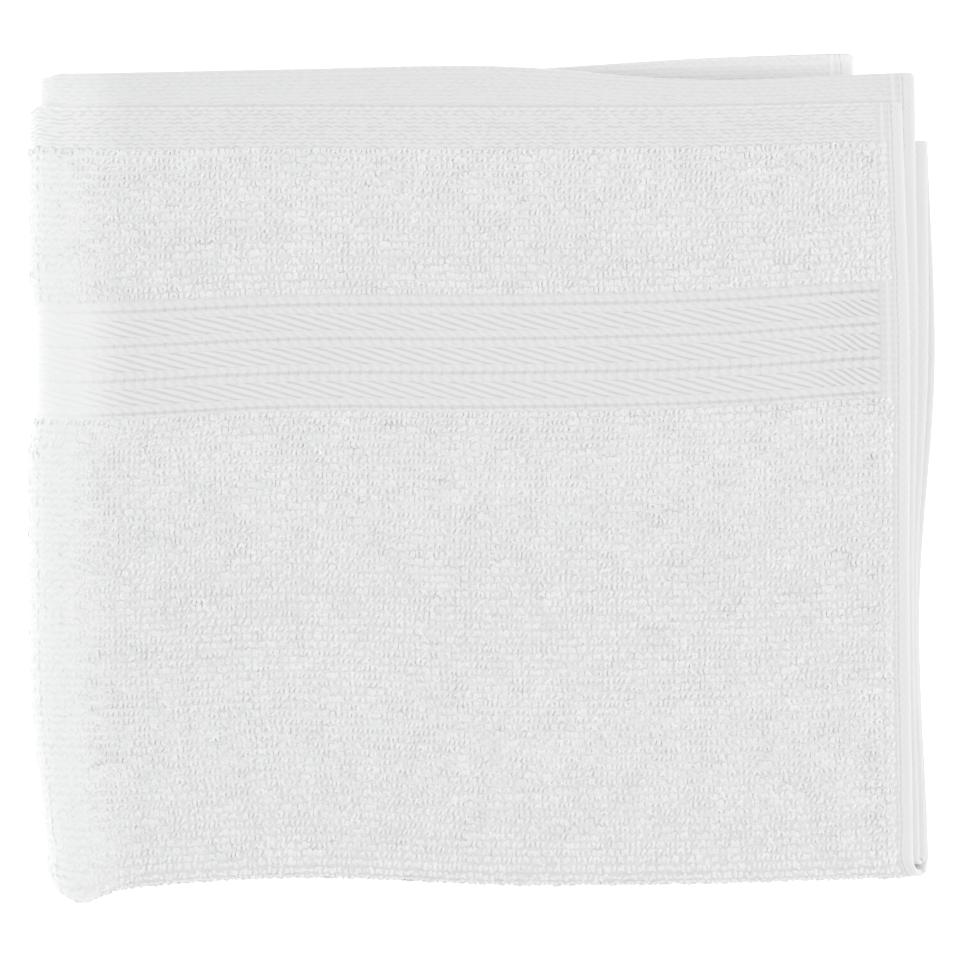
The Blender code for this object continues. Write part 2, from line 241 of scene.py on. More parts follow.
# The shapes of a loop: a curve's start, its two handles and its end, as shares of a loop's width, length and
# rise. Two arch over from foot to foot, bowed to either side, one leans as it arches, and one curls open
LOOP_SHAPES = (
    ((-0.35, 0.05, -0.8), (0.62, -0.10, 1.9), (0.62, 1.05, 2.1), (-0.35, 0.95, -0.8)),
    ((0.35, 0.05, -0.8), (-0.60, 0.00, 2.1), (-0.60, 1.05, 1.9), (0.35, 0.95, -0.8)),
    ((-0.25, 0.05, -0.8), (-0.40, 0.20, 2.2), (0.45, 0.95, 2.0), (0.25, 0.95, -0.8)),
    ((-0.45, 0.15, -0.8), (-0.75, 1.40, 2.0), (0.80, 1.30, 2.2), (0.45, 0.1, -0.8)),
)
# The yarn of the upper half's loops, and of the lower half's, which the towel's weight presses flat
YARN_ABOVE = {"sides": 5, "segments": 4, "pressed": 0.0}
YARN_BELOW = {"sides": 3, "segments": 3, "pressed": 0.8}


def smoothstep(low, high, value):
    """0 below low, 1 above high, and smooth between them."""
    share = np.clip((value - low) / (high - low), 0.0, 1.0)
    return share * share * (3 - 2 * share)


def smooth_through(values, share):
    """A smooth curve through evenly spaced values, read at a share of its length from 0 to 1."""
    values = np.asarray(values, float)
    place = np.clip(share, 0.0, 1.0) * (len(values) - 1)
    step = np.minimum(place.astype(int), len(values) - 2)
    part = place - step
    before, start = values[np.maximum(step - 1, 0)], values[step]
    end, after = values[step + 1], values[np.minimum(step + 2, len(values) - 1)]
    bend = (after - before + 3 * (start - end)) * part + 2 * before - 5 * start + 4 * end - after
    return start + part * ((end - before) + part * bend) / 2


def fold_along(along, offset):
    """The first two folds: the distance from the second fold's line, and the height in the half stack."""
    reach = np.zeros(len(along))
    height = np.zeros(len(along))
    place = Vector((OUTER_HEM_REACH, HALF_HEIGHT - LAYER_PITCH / 2))
    heading = Vector((-1.0, 0.0))
    start = 0.0
    for part in ROUTE:
        length = part.get("length", math.pi * part.get("radius", 0.0))
        outward = Vector((heading.y, -heading.x))
        here = along >= start
        way = along[here] - start
        if "length" in part:
            reach[here] = place.x + heading.x * way + outward.x * offset[here]
            height[here] = place.y + heading.y * way + outward.y * offset[here]
            place = place + heading * length
        else:
            side, radius = part["side"], part["radius"]
            centre = place - side * radius * outward
            turned = math.pi * way / length
            arm = radius + side * offset[here]
            reach[here] = centre.x + arm * (side * outward.x * np.cos(turned) + heading.x * np.sin(turned))
            height[here] = centre.y + arm * (side * outward.y * np.cos(turned) + heading.y * np.sin(turned))
            place = place - 2 * side * radius * outward
            heading = -heading
        start += length
    return reach, height


def fold_across(across, radius, middle_radius):
    """The last fold, about the spine: the distance from the spine's line, and the height.

    The cloth's middle sets how far a layer reaches, so that its two faces end at one edge."""
    from_spine = across - SPINE
    side = np.where(from_spine > 0, 1.0, -1.0)
    half_width = TOWEL_WIDTH / 2 + side * FRONT_HALF_EXTRA
    way_round = MEAN_RADIUS + SPINE_SHIFT_SHARE * (middle_radius - MEAN_RADIUS)
    reach = half_width - math.pi / 2 * way_round
    share = (np.abs(from_spine) - SPINE_HALF_ARC) / (half_width - SPINE_HALF_ARC)
    turned = math.pi / 2 * from_spine / SPINE_HALF_ARC
    on_spine = np.abs(from_spine) <= SPINE_HALF_ARC
    x = np.where(on_spine, -radius * np.cos(turned), share * reach)
    z = SPINE_HEIGHT + np.where(on_spine, radius * np.sin(turned), side * radius)
    return x, z


def between_layers(column, height, share):
    """A table's value for a height in the stack, smooth from one layer to the next, in metres."""
    place = np.clip(height / LAYER_PITCH - 0.5, 0.0, len(LAYERS) - 1.0)
    low = np.minimum(place.astype(int), len(LAYERS) - 2)
    values = np.array([smooth_through(layer[column], share) for layer in LAYERS])
    rows = np.arange(len(height))
    first, second = values[low, rows], values[low + 1, rows]
    return MM * (first + (second - first) * (place - low))


def border_line(x):
    """How much further up the outer layer's border lies at a distance from the spine's line."""
    return MM * smooth_through(BORDER_LIFT, x / NOMINAL_WIDTH)


def stray(x, y, z, outer_layer):
    """How far the real cloth lies from the neat fold at a place: (x, y) shift, level by level."""
    share_x = np.clip(x / NOMINAL_WIDTH, 0.0, 1.0)
    share_y = np.clip(y / OUTER_HEM_REACH, 0.0, 1.0)
    border_middle = OUTER_HEM_REACH - BORDER_FROM_EDGE - BORDER_DEPTH / 2
    away = (y - border_middle) / BORDER_LIFT_REACH
    lift = np.exp(-away * away) * outer_layer * border_line(x)
    in_border = np.exp(-(((y - border_middle) / (0.62 * BORDER_DEPTH)) ** 6))
    spine = MM * (smooth_through(SPINE_LINE, share_y) + SPINE_LET_IN * in_border)
    shift_x = spine * (1 - share_x) + between_layers("right", z, share_y) * share_x
    bottom = between_layers("bottom", z, share_x)
    top = between_layers("top", z, share_x)
    lower_half = 1 - smoothstep(0.8 * SPINE_HEIGHT, 1.1 * SPINE_HEIGHT, z)
    above = EAR_DROP_ABOVE * np.exp(-(((x - EAR_PLACE) / EAR_WIDTH_ABOVE) ** 2))
    below = EAR_DROP_BELOW * np.exp(-(((x - EAR_PLACE) / EAR_WIDTH_BELOW) ** 2))
    near_fold = 1 - smoothstep(0.0, EAR_REACH, y)
    ear = (above + (below - above) * lower_half) * near_fold
    return shift_x, bottom + (top - bottom) * share_y + lift - ear


def settle(layer, x, y):
    """How thick a layer lies at a place, as a share of its pitch. The lowest lies flat on the surface."""
    if layer == 0:
        return np.ones(len(x))
    outer, inner = layer == len(LAYERS) - 1, layer == len(LAYERS) - 2
    share = np.ones(len(x))
    if outer or inner:
        reach = OUTER_HEM_REACH if outer else INNER_HEM_REACH
        line = reach - BORDER_FROM_EDGE + (border_line(x) if outer else 0.0)
        low_edge = smoothstep(-BORDER_DEPTH - SETTLE_EDGE, -BORDER_DEPTH + SETTLE_EDGE, y - line)
        in_border = low_edge - smoothstep(-SETTLE_EDGE, SETTLE_EDGE, y - line)
        in_hem = smoothstep(-SETTLE_EDGE, SETTLE_EDGE, y - reach + HEM_DEPTH)
        share = 1 - (1 - BORDER_SETTLE) * in_border - (1 - HEM_SETTLE) * in_hem
    elif layer > 1:
        share = 1 - (1 - EMPTY_SETTLE) * smoothstep(FOLD_TOP, INNER_HEM_REACH, y)
    edge = NOMINAL_WIDTH - SELVAGE_SETTLE_WIDTH
    share = share * (1 - (1 - SELVAGE_SETTLE) * smoothstep(edge, NOMINAL_WIDTH, x))
    turn = 2 * math.pi / SWELL_LENGTH
    return share * (1 + SWELL * np.sin(turn * x + 2.4 * layer) * np.sin(turn * y + 1.7 * layer))


def settled_height(x, y, z):
    """The height once every layer below has settled."""
    height = np.maximum(0.0, z - len(LAYERS) * LAYER_PITCH) + np.minimum(0.0, z)
    for layer in range(len(LAYERS)):
        height = height + settle(layer, x, y) * np.clip(z - layer * LAYER_PITCH, 0.0, LAYER_PITCH)
    return height


def creased(x, y, z):
    """How much lower the upper layers lie in the creases."""
    drop = np.zeros(len(x))
    for crease in CREASES:
        turn = math.radians(crease["turn"])
        dx, dy = x - crease["x"], y - crease["y"]
        along = (dx * math.cos(turn) + dy * math.sin(turn)) / crease["long"]
        across = (dy * math.cos(turn) - dx * math.sin(turn)) / crease["wide"]
        drop += MM * crease["depth"] * np.exp(-along * along - across * across)
    return drop * smoothstep(4.5 * LAYER_PITCH, 8.0 * LAYER_PITCH, z)


def puckered(x, y, z, along):
    """How much lower the uppermost layer lies in the puckers of its pile."""
    wave = np.zeros(len(x))
    for pucker in PUCKERS:
        turn = math.radians(pucker["turn"])
        way = (x * math.cos(turn) + y * math.sin(turn)) / pucker["long"]
        wave += MM * PUCKER_DEPTH * np.sin(2 * math.pi * way + math.radians(pucker["phase"]))
    past_hem = smoothstep(HEM_DEPTH, HEM_DEPTH + PUCKER_FADE, along)
    before_border = past_hem - smoothstep(BORDER_FROM_EDGE - PUCKER_FADE, BORDER_FROM_EDGE, along)
    in_pile = before_border + smoothstep(BORDER_END, BORDER_END + 0.004, along)
    return wave * (0.25 + 0.75 * in_pile) * smoothstep(6.0 * LAYER_PITCH, 7.6 * LAYER_PITCH, z)


def round_corners(across, along):
    """Places across the flat cloth, drawn in where its four corners are round."""
    from_edge = TOWEL_WIDTH / 2 - np.abs(across)
    from_end = np.minimum(along, TOWEL_LENGTH - along)
    near_end = np.clip(1 - from_end / CORNER_RADIUS, 0.0, 1.0)
    near_edge = np.clip(1 - from_edge / (4 * CORNER_RADIUS), 0.0, 1.0)
    return across - np.sign(across) * near_edge * CORNER_RADIUS * (1 - np.sqrt(1 - near_end * near_end))


def folded(across, along, offset):
    """Where points of the flat cloth lie once the towel is folded and has settled, as rows of x, y and z."""
    across = round_corners(across, along)
    reach, height = fold_along(along, offset)
    middle = fold_along(along, np.zeros(len(along)))[1]
    x, z = fold_across(across, INNER_RADIUS + height, INNER_RADIUS + middle)
    from_back = smoothstep(SPINE - SPINE_HALF_ARC, SPINE, across)
    outer_layer = from_back * smoothstep(2.6 * LAYER_PITCH, 3.2 * LAYER_PITCH, height)
    shift_x, shift_y = stray(x, reach, z, outer_layer)
    x, y = x + shift_x, reach + shift_y
    high = settled_height(x, y, z)
    x, y = x - MIDDLE[0], y - MIDDLE[1]
    return np.stack([x, y, high - creased(x, y, z) - puckered(x, y, z, along)], axis=1)


def end_knots(hem, pile):
    """Half the thickness from an end of the cloth inwards, as places in metres and heights in millimetres."""
    half = PILE_STEP / 2
    knots = [(0.0, 0.30), (0.0003, 0.72), (0.0012, hem), (HEM_DEPTH - half, hem), (HEM_DEPTH + half, pile)]
    knots += [(BORDER_FROM_EDGE - half, pile), (BORDER_FROM_EDGE + half, BAND_HEIGHT)]
    for groove in range(GROOVE_COUNT):
        middle = BORDER_FROM_EDGE + FIRST_GROOVE_IN_BORDER + groove * GROOVE_PITCH
        knots += [(middle - 0.0006, BAND_HEIGHT), (middle, GROOVE_HEIGHT), (middle + 0.0006, BAND_HEIGHT)]
    return knots + [(BORDER_END - half, BAND_HEIGHT), (BORDER_END + half, pile)]


def on_upper_half(across):
    """0 on the half of the cloth that lies below, 1 on the half above."""
    return smoothstep(SPINE - 0.004, SPINE + 0.006, across)


def near_spine(across):
    """1 round the last fold, and 0 away from it."""
    return 1 - smoothstep(SPINE_HALF_ARC, 1.7 * SPINE_HALF_ARC, np.abs(across - SPINE))


def zone_heights(along, looped, ground):
    """Half the cloth's thickness along it, in metres. The loops stand on the ground of the looped face."""
    if looped:
        near_knots = end_knots(HEM_HEIGHT, ground)
        near_knots += [(LOOPS_END, ground), (LOOPS_END + 0.004, PILE_HEIGHT)]
        far_knots = end_knots(LYING_HEM_HEIGHT, PILE_HEIGHT)
    else:
        near_knots = end_knots(LYING_HEM_HEIGHT, PILE_HEIGHT)
        far_knots = end_knots(HEM_HEIGHT, PILE_HEIGHT)
    near = np.interp(along, *zip(*near_knots))
    far = np.interp(TOWEL_LENGTH - along, *zip(*far_knots))
    return MM * np.minimum(near, far)


def lies_below(across, along, looped):
    """Where a face of the folded cloth looks down, onto another layer or the table."""
    starts = np.cumsum([0.0] + [part.get("length", math.pi * part.get("radius", 0.0)) for part in ROUTE])
    middles = [
        start + part["radius"] * math.pi / 2 for start, part in zip(starts, ROUTE) if "radius" in part
    ]
    turned = (along > middles[0]) ^ (along > middles[1]) ^ (along > middles[2])
    looks_up = (across > SPINE) ^ turned
    return looks_up != looped


def cloth_height(across, along, looped):
    """Half the cloth's thickness at places on the flat cloth, in metres."""
    grounds = (PRESSED_GROUND_HEIGHT, GROUND_HEIGHT, SPINE_GROUND_HEIGHT)
    low, high, on_spine = (zone_heights(along, looped, ground) for ground in grounds)
    zone = low + (high - low) * on_upper_half(across)
    zone += (on_spine - zone) * near_spine(across)
    from_edge = TOWEL_WIDTH / 2 - np.abs(across)
    from_end = np.minimum(along, TOWEL_LENGTH - along)
    places = [MM * cut["from_edge"] for cut in SELVAGE_CUT]
    heights = [MM * cut["height"] for cut in SELVAGE_CUT]
    selvage = np.interp(from_edge, places, heights)
    at_ends = np.interp(from_end, (0.0, 0.0003, 0.0012), (0.30, 0.72, 1.0))
    inside = smoothstep(SELVAGE_WIDTH, SELVAGE_WIDTH + 0.0005, from_edge)
    return selvage * at_ends + (zone - selvage * at_ends) * inside


def sag(across, along, looped):
    """How far the hems and selvages sink towards the layer below, in metres."""
    from_edge = TOWEL_WIDTH / 2 - np.abs(across)
    from_end = np.minimum(along, TOWEL_LENGTH - along)
    droop = END_DROOP * (1 - smoothstep(0.0, END_DROOP_REACH, from_end))
    droop = np.maximum(droop, SELVAGE_DROOP * (1 - smoothstep(0.0, SELVAGE_DROOP_REACH, from_edge)))
    thin = 1 - smoothstep(HEM_DEPTH - 0.001, HEM_DEPTH + 0.001, from_end)
    thin = np.maximum(thin, 1 - smoothstep(SELVAGE_WIDTH, SELVAGE_WIDTH + LYING_EXTRA_EDGE, from_edge))
    return MM * (droop + LYING_EXTRA * thin * lies_below(across, along, looped))


def spread(start, end, pitch):
    """Places from start towards end, without the end, evenly spaced at about the pitch."""
    count = max(1, round(abs(end - start) / pitch))
    return [start + (end - start) * number / count for number in range(count)]


def column_places(pitch):
    """Where the cloth's columns of vertices lie across it."""
    edge = TOWEL_WIDTH / 2
    cuts = [MM * cut["from_edge"] for cut in SELVAGE_CUT] + [SELVAGE_WIDTH + 0.0005]
    back_flat, front_flat = SPINE - SPINE_HALF_ARC, SPINE + SPINE_HALF_ARC
    places = [-edge + cut for cut in cuts[:-1]]
    places += spread(-edge + cuts[-1], back_flat, 1.3 * pitch)
    places += spread(back_flat, front_flat, 0.0013)
    places += spread(front_flat, edge - cuts[-1], pitch)
    return np.array(places + [edge - cut for cut in reversed(cuts)])


def row_places(pitch):
    """Where the cloth's rows of vertices lie along it: closest in the border that shows, and in the turns."""
    half = PILE_STEP / 2
    stops = [0.0, 0.00015, 0.0003, 0.0007, 0.0012, 0.006, HEM_DEPTH - half, HEM_DEPTH + half]
    stops += [BORDER_FROM_EDGE - half, BORDER_FROM_EDGE + half, BORDER_END - half, BORDER_END + half]
    hidden = [TOWEL_LENGTH - stop for stop in stops]
    for groove in range(GROOVE_COUNT):
        middle = BORDER_FROM_EDGE + FIRST_GROOVE_IN_BORDER + groove * GROOVE_PITCH
        stops += [middle - 0.0007, middle - 0.0003, middle, middle + 0.0003, middle + 0.0007]
    other = []
    along = 0.0
    for part in ROUTE:
        length = part.get("length", math.pi * part.get("radius", 0.0))
        steps = max(8, round(length / 0.0010)) if "radius" in part else 1
        other += [along + length * number / steps for number in range(steps + 1)]
        along += length
    for place in (HEM_DEPTH, BORDER_FROM_EDGE, BORDER_END):
        other += [place - SETTLE_EDGE, place + SETTLE_EDGE]
        other += [TOWEL_LENGTH - place - SETTLE_EDGE, TOWEL_LENGTH - place + SETTLE_EDGE]
    other += [OUTER_HEM_REACH - FOLD_TOP, TOWEL_LENGTH - INNER_HEM_REACH + FOLD_TOP, LOOPS_END + 0.004]
    stops += hidden
    for place in other:
        if min(abs(place - stop) for stop in stops) > 0.0005:
            stops.append(place)
    stops.sort()
    rows = []
    for low, high in zip(stops, stops[1:]):
        near = high < OUTER_HEM_REACH + 0.02
        rows += spread(low, high, pitch if near else 1.4 * pitch)
    return np.array(rows + [stops[-1]])


def grid_faces(columns, rows, first, flipped):
    """The faces of a grid of vertices that are numbered along its columns."""
    faces = []
    for row in range(rows - 1):
        for column in range(columns - 1):
            corner = first + row * columns + column
            face = (corner, corner + 1, corner + columns + 1, corner + columns)
            faces.append(face[::-1] if flipped else face)
    return faces


def put_in_scene(name, mesh):
    """An object of the mesh, in the scene."""
    piece = bpy.data.objects.new(name, mesh)
    bpy.context.scene.collection.objects.link(piece)
    return piece


def folded_cloth(settings):
    """The folded cloth with both its faces and its edges, with the flat cloth's places as its UV map."""
    columns, rows = column_places(settings.mesh_pitch), row_places(settings.mesh_pitch)
    across = np.tile(columns, len(rows))
    along = np.repeat(rows, len(columns))
    looped = folded(across, along, cloth_height(across, along, True))
    plain = folded(across, along, -cloth_height(across, along, False))
    looped[:, 2] = np.maximum(looped[:, 2] - sag(across, along, True), LOWEST)
    plain[:, 2] = np.maximum(plain[:, 2] - sag(across, along, False), LOWEST)
    count = len(across)
    faces = grid_faces(len(columns), len(rows), 0, True) + grid_faces(len(columns), len(rows), count, False)
    across_edge = [range(len(columns)), range(count - len(columns), count)]
    along_edge = [range(0, count, len(columns)), range(len(columns) - 1, count, len(columns))]
    for edge, turned in ((across_edge[0], False), (across_edge[1], True)):
        for first, second in zip(edge, edge[1:]):
            face = (first, second, second + count, first + count)
            faces.append(face[::-1] if turned else face)
    for edge, turned in ((along_edge[0], True), (along_edge[1], False)):
        for first, second in zip(edge, edge[1:]):
            face = (first, second, second + count, first + count)
            faces.append(face[::-1] if turned else face)
    mesh = bpy.data.meshes.new("cloth")
    mesh.from_pydata(np.concatenate([looped, plain]).tolist(), [], faces)
    places = np.stack([np.tile(across, 2), np.tile(along, 2)], axis=1)
    corners = np.empty(len(mesh.loops), np.int32)
    mesh.loops.foreach_get("vertex_index", corners)
    uv_map = mesh.uv_layers.new(name="cloth")
    uv_map.data.foreach_set("uv", places[corners].astype(np.float32).ravel())
    mesh.polygons.foreach_set("use_smooth", [True] * len(mesh.polygons))
    return mesh, places


def zone_of(across, along):
    """The number of the material that a place on the flat cloth is woven in."""
    from_end = min(along, TOWEL_LENGTH - along)
    if TOWEL_WIDTH / 2 - abs(across) < SELVAGE_WIDTH:
        return 3
    if from_end < HEM_DEPTH:
        return 1 if along < HEM_DEPTH else 4
    if BORDER_FROM_EDGE < from_end < BORDER_END:
        return 2
    return 0


def loop_bed(field, pressed):
    """The face that a field of loops stands on, with the way to the hem at each vertex, as a helper."""
    low_u, high_u = field["across"]
    low_v, high_v = field["along"]
    columns = np.linspace(low_u, high_u, round((high_u - low_u) / 0.0022) + 1)
    rows = np.linspace(low_v, high_v, round((high_v - low_v) / 0.0022) + 1)
    across = np.tile(columns, len(rows))
    along = np.repeat(rows, len(columns))
    ground = PRESSED_GROUND_HEIGHT + (GROUND_HEIGHT - PRESSED_GROUND_HEIGHT) * on_upper_half(across)
    on_spine = near_spine(across)
    ground += (SPINE_GROUND_HEIGHT - ground) * on_spine
    on_fold = smoothstep(OUTER_HEM_REACH - 0.003, OUTER_HEM_REACH + 0.001, along)
    calm = np.maximum(np.maximum(on_spine, 0.5 * on_fold), pressed)
    bed = MM * (ground - LOOPS_SUNK - (CALM_LOOPS_SUNK - LOOPS_SUNK) * calm)
    points = folded(across, along, bed)
    towards_hem = folded(across, np.maximum(along - 0.0005, 0.0), bed) - folded(across, along + 0.0005, bed)
    towards_hem /= np.linalg.norm(towards_hem, axis=1)[:, None]
    mesh = bpy.data.meshes.new(field["name"] + "_bed")
    mesh.from_pydata(points.tolist(), [], grid_faces(len(columns), len(rows), 0, True))
    places = np.stack([(across - low_u) / (high_u - low_u), (along - low_v) / (high_v - low_v)], axis=1)
    corners = np.empty(len(mesh.loops), np.int32)
    mesh.loops.foreach_get("vertex_index", corners)
    uv_map = mesh.uv_layers.new(name="field")
    uv_map.data.foreach_set("uv", places[corners].astype(np.float32).ravel())
    ways = mesh.attributes.new("to_hem", "FLOAT_VECTOR", "POINT")
    ways.data.foreach_set("vector", towards_hem.astype(np.float32).ravel())
    calmness = mesh.attributes.new("calm", "FLOAT", "POINT")
    calmness.data.foreach_set("value", calm.astype(np.float32))
    mesh.polygons.foreach_set("use_smooth", [True] * len(mesh.polygons))
    return put_in_scene(field["name"] + "_bed", mesh)


class TreeMaker:
    """Adds nodes to a tree and links them."""

    def __init__(self, tree):
        self.tree = tree

    def add(self, kind, **settings):
        node = self.tree.nodes.new(kind)
        for name, value in settings.items():
            setattr(node, name, value)
        return node

    def link(self, source, target):
        self.tree.links.new(source, target)

    def feed(self, socket, value):
        """Links the value to the socket if it is a socket itself, and otherwise sets it there."""
        if isinstance(value, bpy.types.NodeSocket):
            self.tree.links.new(value, socket)
        else:
            socket.default_value = value

    def math(self, operation, *values, clamp=False):
        node = self.add("ShaderNodeMath", operation=operation, use_clamp=clamp)
        for socket, value in zip(node.inputs, values):
            self.feed(socket, value)
        return node.outputs[0]

    def plus(self, one, other):
        return self.math("ADD", one, other)

    def minus(self, one, other):
        return self.math("SUBTRACT", one, other)

    def times(self, one, other):
        return self.math("MULTIPLY", one, other)

    def over(self, one, other):
        return self.math("DIVIDE", one, other)

    def size_of(self, value):
        return self.math("ABSOLUTE", value)

    def vector(self, operation, one, other):
        node = self.add("ShaderNodeVectorMath", operation=operation)
        self.feed(node.inputs[0], one)
        self.feed(node.inputs["Scale" if operation == "SCALE" else 1], other)
        return node.outputs[0]

    def combine(self, x, y, z):
        node = self.add("ShaderNodeCombineXYZ")
        for socket, value in zip(node.inputs, (x, y, z)):
            self.feed(socket, value)
        return node.outputs[0]

    def step(self, low, high, value):
        """Smooth from 0 at low to 1 at high."""
        node = self.add("ShaderNodeMapRange", interpolation_type="SMOOTHSTEP")
        self.feed(node.inputs["Value"], value)
        self.feed(node.inputs["From Min"], low)
        self.feed(node.inputs["From Max"], high)
        return node.outputs["Result"]

    def noise(self, vector, scale, detail=2.0, roughness=0.5):
        node = self.add("ShaderNodeTexNoise", noise_dimensions="3D")
        self.feed(node.inputs["Vector"], vector)
        self.feed(node.inputs["Scale"], scale)
        self.feed(node.inputs["Detail"], detail)
        self.feed(node.inputs["Roughness"], roughness)
        return node.outputs["Fac"]


def new_group(kind, name, inputs, outputs):
    """A node group with named sockets: (name, type, default) each. Returns the group and its two ends."""
    group = bpy.data.node_groups.new(name, kind)
    for label, socket_type, default in inputs:
        socket = group.interface.new_socket(label, in_out="INPUT", socket_type=socket_type)
        if default is not None:
            socket.default_value = default
    for label, socket_type in outputs:
        group.interface.new_socket(label, in_out="OUTPUT", socket_type=socket_type)
    start = group.nodes.new("NodeGroupInput")
    end = group.nodes.new("NodeGroupOutput")
    return group, start, end


def pile_tree():
    """Rows of yarn loops over a bed, all leaning the same way, each a little out of line."""
    group, start, end = new_group(
        "GeometryNodeTree",
        "Pile loops",
        [
            ("Bed", "NodeSocketGeometry", None),
            ("Columns", "NodeSocketInt", 100),
            ("Rows", "NodeSocketInt", 100),
            ("Wander", "NodeSocketVector", (0.0, 0.0, 0.0)),
            ("Loop Width", "NodeSocketFloat", 0.0012),
            ("Loop Length", "NodeSocketFloat", 0.0019),
            ("Loop Rise", "NodeSocketFloat", 0.0006),
            ("Yarn Radius", "NodeSocketFloat", 0.0003),
            ("Yarn Sides", "NodeSocketInt", 4),
            ("Loop Segments", "NodeSocketInt", 5),
            ("Twist", "NodeSocketFloat", 0.5),
            ("Tilt", "NodeSocketFloat", 0.4),
            ("Uneven", "NodeSocketFloat", 0.2),
            ("Squash", "NodeSocketFloat", 0.7),
            ("Patch Size", "NodeSocketFloat", 0.009),
            ("Patch Turn", "NodeSocketFloat", 0.5),
            ("Seed", "NodeSocketInt", 1),
            ("Material", "NodeSocketMaterial", None),
        ],
        [("Loops", "NodeSocketGeometry")],
    )
    make = TreeMaker(group)
    given = start.outputs

    def random(kind, low, high, salt):
        node = make.add("FunctionNodeRandomValue", data_type=kind)
        first = 0 if kind == "FLOAT_VECTOR" else 2
        make.feed(node.inputs[first], low)
        make.feed(node.inputs[first + 1], high)
        seed = make.plus(given["Seed"], float(salt))
        make.feed(node.inputs["Seed"], seed)
        return node.outputs[0 if kind == "FLOAT_VECTOR" else 1]

    grid = make.add("GeometryNodeMeshGrid")
    make.feed(grid.inputs["Size X"], 1.0)
    make.feed(grid.inputs["Size Y"], 1.0)
    make.link(given["Columns"], grid.inputs["Vertices X"])
    make.link(given["Rows"], grid.inputs["Vertices Y"])

    wander = random("FLOAT_VECTOR", make.vector("SCALE", given["Wander"], -1.0), given["Wander"], 1)
    place = make.vector("ADD", make.add("GeometryNodeInputPosition").outputs[0], wander)
    place = make.vector("ADD", place, (0.5, 0.5, 0.0))
    place = make.vector("MAXIMUM", place, (0.0005, 0.0005, 0.0))
    place = make.vector("MINIMUM", place, (0.9995, 0.9995, 0.0))

    capture = make.add("GeometryNodeStoreNamedAttribute", data_type="FLOAT_VECTOR", domain="POINT")
    make.link(grid.outputs["Mesh"], capture.inputs["Geometry"])
    make.feed(capture.inputs["Name"], "place")
    make.link(place, capture.inputs["Value"])

    def read(name, kind="FLOAT_VECTOR"):
        node = make.add("GeometryNodeInputNamedAttribute", data_type=kind)
        make.feed(node.inputs["Name"], name)
        return node.outputs["Attribute"]

    def from_bed(value, kind="FLOAT_VECTOR"):
        node = make.add("GeometryNodeSampleUVSurface", data_type=kind)
        make.link(given["Bed"], node.inputs["Mesh"])
        make.link(value, node.inputs["Value"])
        make.link(read("field"), node.inputs[2])
        make.link(read("place"), node.inputs["Sample UV"])
        return node.outputs["Value"]

    bed_position = make.add("GeometryNodeInputPosition")
    bed_normal = make.add("GeometryNodeInputNormal")
    normal = from_bed(bed_normal.outputs["Normal"])
    to_hem = from_bed(read("to_hem"))
    store_calm = make.add("GeometryNodeStoreNamedAttribute", data_type="FLOAT", domain="POINT")
    make.link(capture.outputs["Geometry"], store_calm.inputs["Geometry"])
    make.feed(store_calm.inputs["Name"], "calmness")
    make.link(from_bed(read("calm", "FLOAT"), "FLOAT"), store_calm.inputs["Value"])
    placed = make.add("GeometryNodeSetPosition")
    make.link(store_calm.outputs["Geometry"], placed.inputs["Geometry"])
    make.link(from_bed(bed_position.outputs[0]), placed.inputs["Position"])

    profile = make.add("GeometryNodeCurvePrimitiveCircle")
    make.link(given["Yarn Sides"], profile.inputs["Resolution"])
    make.link(given["Yarn Radius"], profile.inputs["Radius"])
    shapes = make.add("GeometryNodeJoinGeometry")
    for shape in LOOP_SHAPES:
        segment = make.add("GeometryNodeCurvePrimitiveBezierSegment", mode="POSITION")
        make.link(given["Loop Segments"], segment.inputs["Resolution"])
        for label, (side, reach, rise) in zip(("Start", "Start Handle", "End Handle", "End"), shape):
            place = make.combine(
                make.times(given["Loop Width"], side),
                make.times(given["Loop Length"], reach),
                make.times(given["Loop Rise"], rise),
            )
            make.link(place, segment.inputs[label])
        tube = make.add("GeometryNodeCurveToMesh")
        make.link(segment.outputs["Curve"], tube.inputs["Curve"])
        make.link(profile.outputs["Curve"], tube.inputs["Profile Curve"])
        one = make.add("GeometryNodeGeometryToInstance")
        make.link(tube.outputs["Mesh"], one.inputs[0])
        make.link(one.outputs[0], shapes.inputs[0])

    turned = make.add("FunctionNodeAxesToRotation", primary_axis="Z", secondary_axis="Y")
    make.link(normal, turned.inputs["Primary Axis"])
    make.link(to_hem, turned.inputs["Secondary Axis"])
    calmness = read("calmness", "FLOAT")
    freedom = make.minus(1.0, make.times(calmness, 0.75))
    on_bed = make.add("GeometryNodeInputPosition").outputs[0]
    further = make.vector("ADD", on_bed, (0.37, 0.11, 0.0))
    patch_scale = make.over(1.0, given["Patch Size"])
    patch = make.minus(make.noise(on_bed, patch_scale, 1.0), 0.5)
    patch = make.times(make.times(patch, freedom), 4.0)
    other_patch = make.minus(make.noise(further, patch_scale, 1.0), 0.5)
    other_patch = make.times(make.times(other_patch, freedom), 4.0)
    most_twist = make.times(given["Twist"], freedom)
    most_tilt = make.times(given["Tilt"], freedom)
    twist = random("FLOAT", make.times(most_twist, -1.0), most_twist, 2)
    twist = make.plus(twist, make.times(patch, given["Patch Turn"]))
    tilt = random("FLOAT", make.times(most_tilt, -0.5), most_tilt, 3)
    roll = random("FLOAT", make.times(most_tilt, -1.0), most_tilt, 4)
    own_turn = make.add("FunctionNodeEulerToRotation")
    make.link(make.combine(tilt, roll, twist), own_turn.inputs[0])
    rotation = make.add("FunctionNodeRotateRotation", rotation_space="LOCAL")
    make.link(turned.outputs[0], rotation.inputs[0])
    make.link(own_turn.outputs[0], rotation.inputs[1])
    smallest = make.minus(1.0, given["Uneven"])
    largest = make.plus(1.0, given["Uneven"])
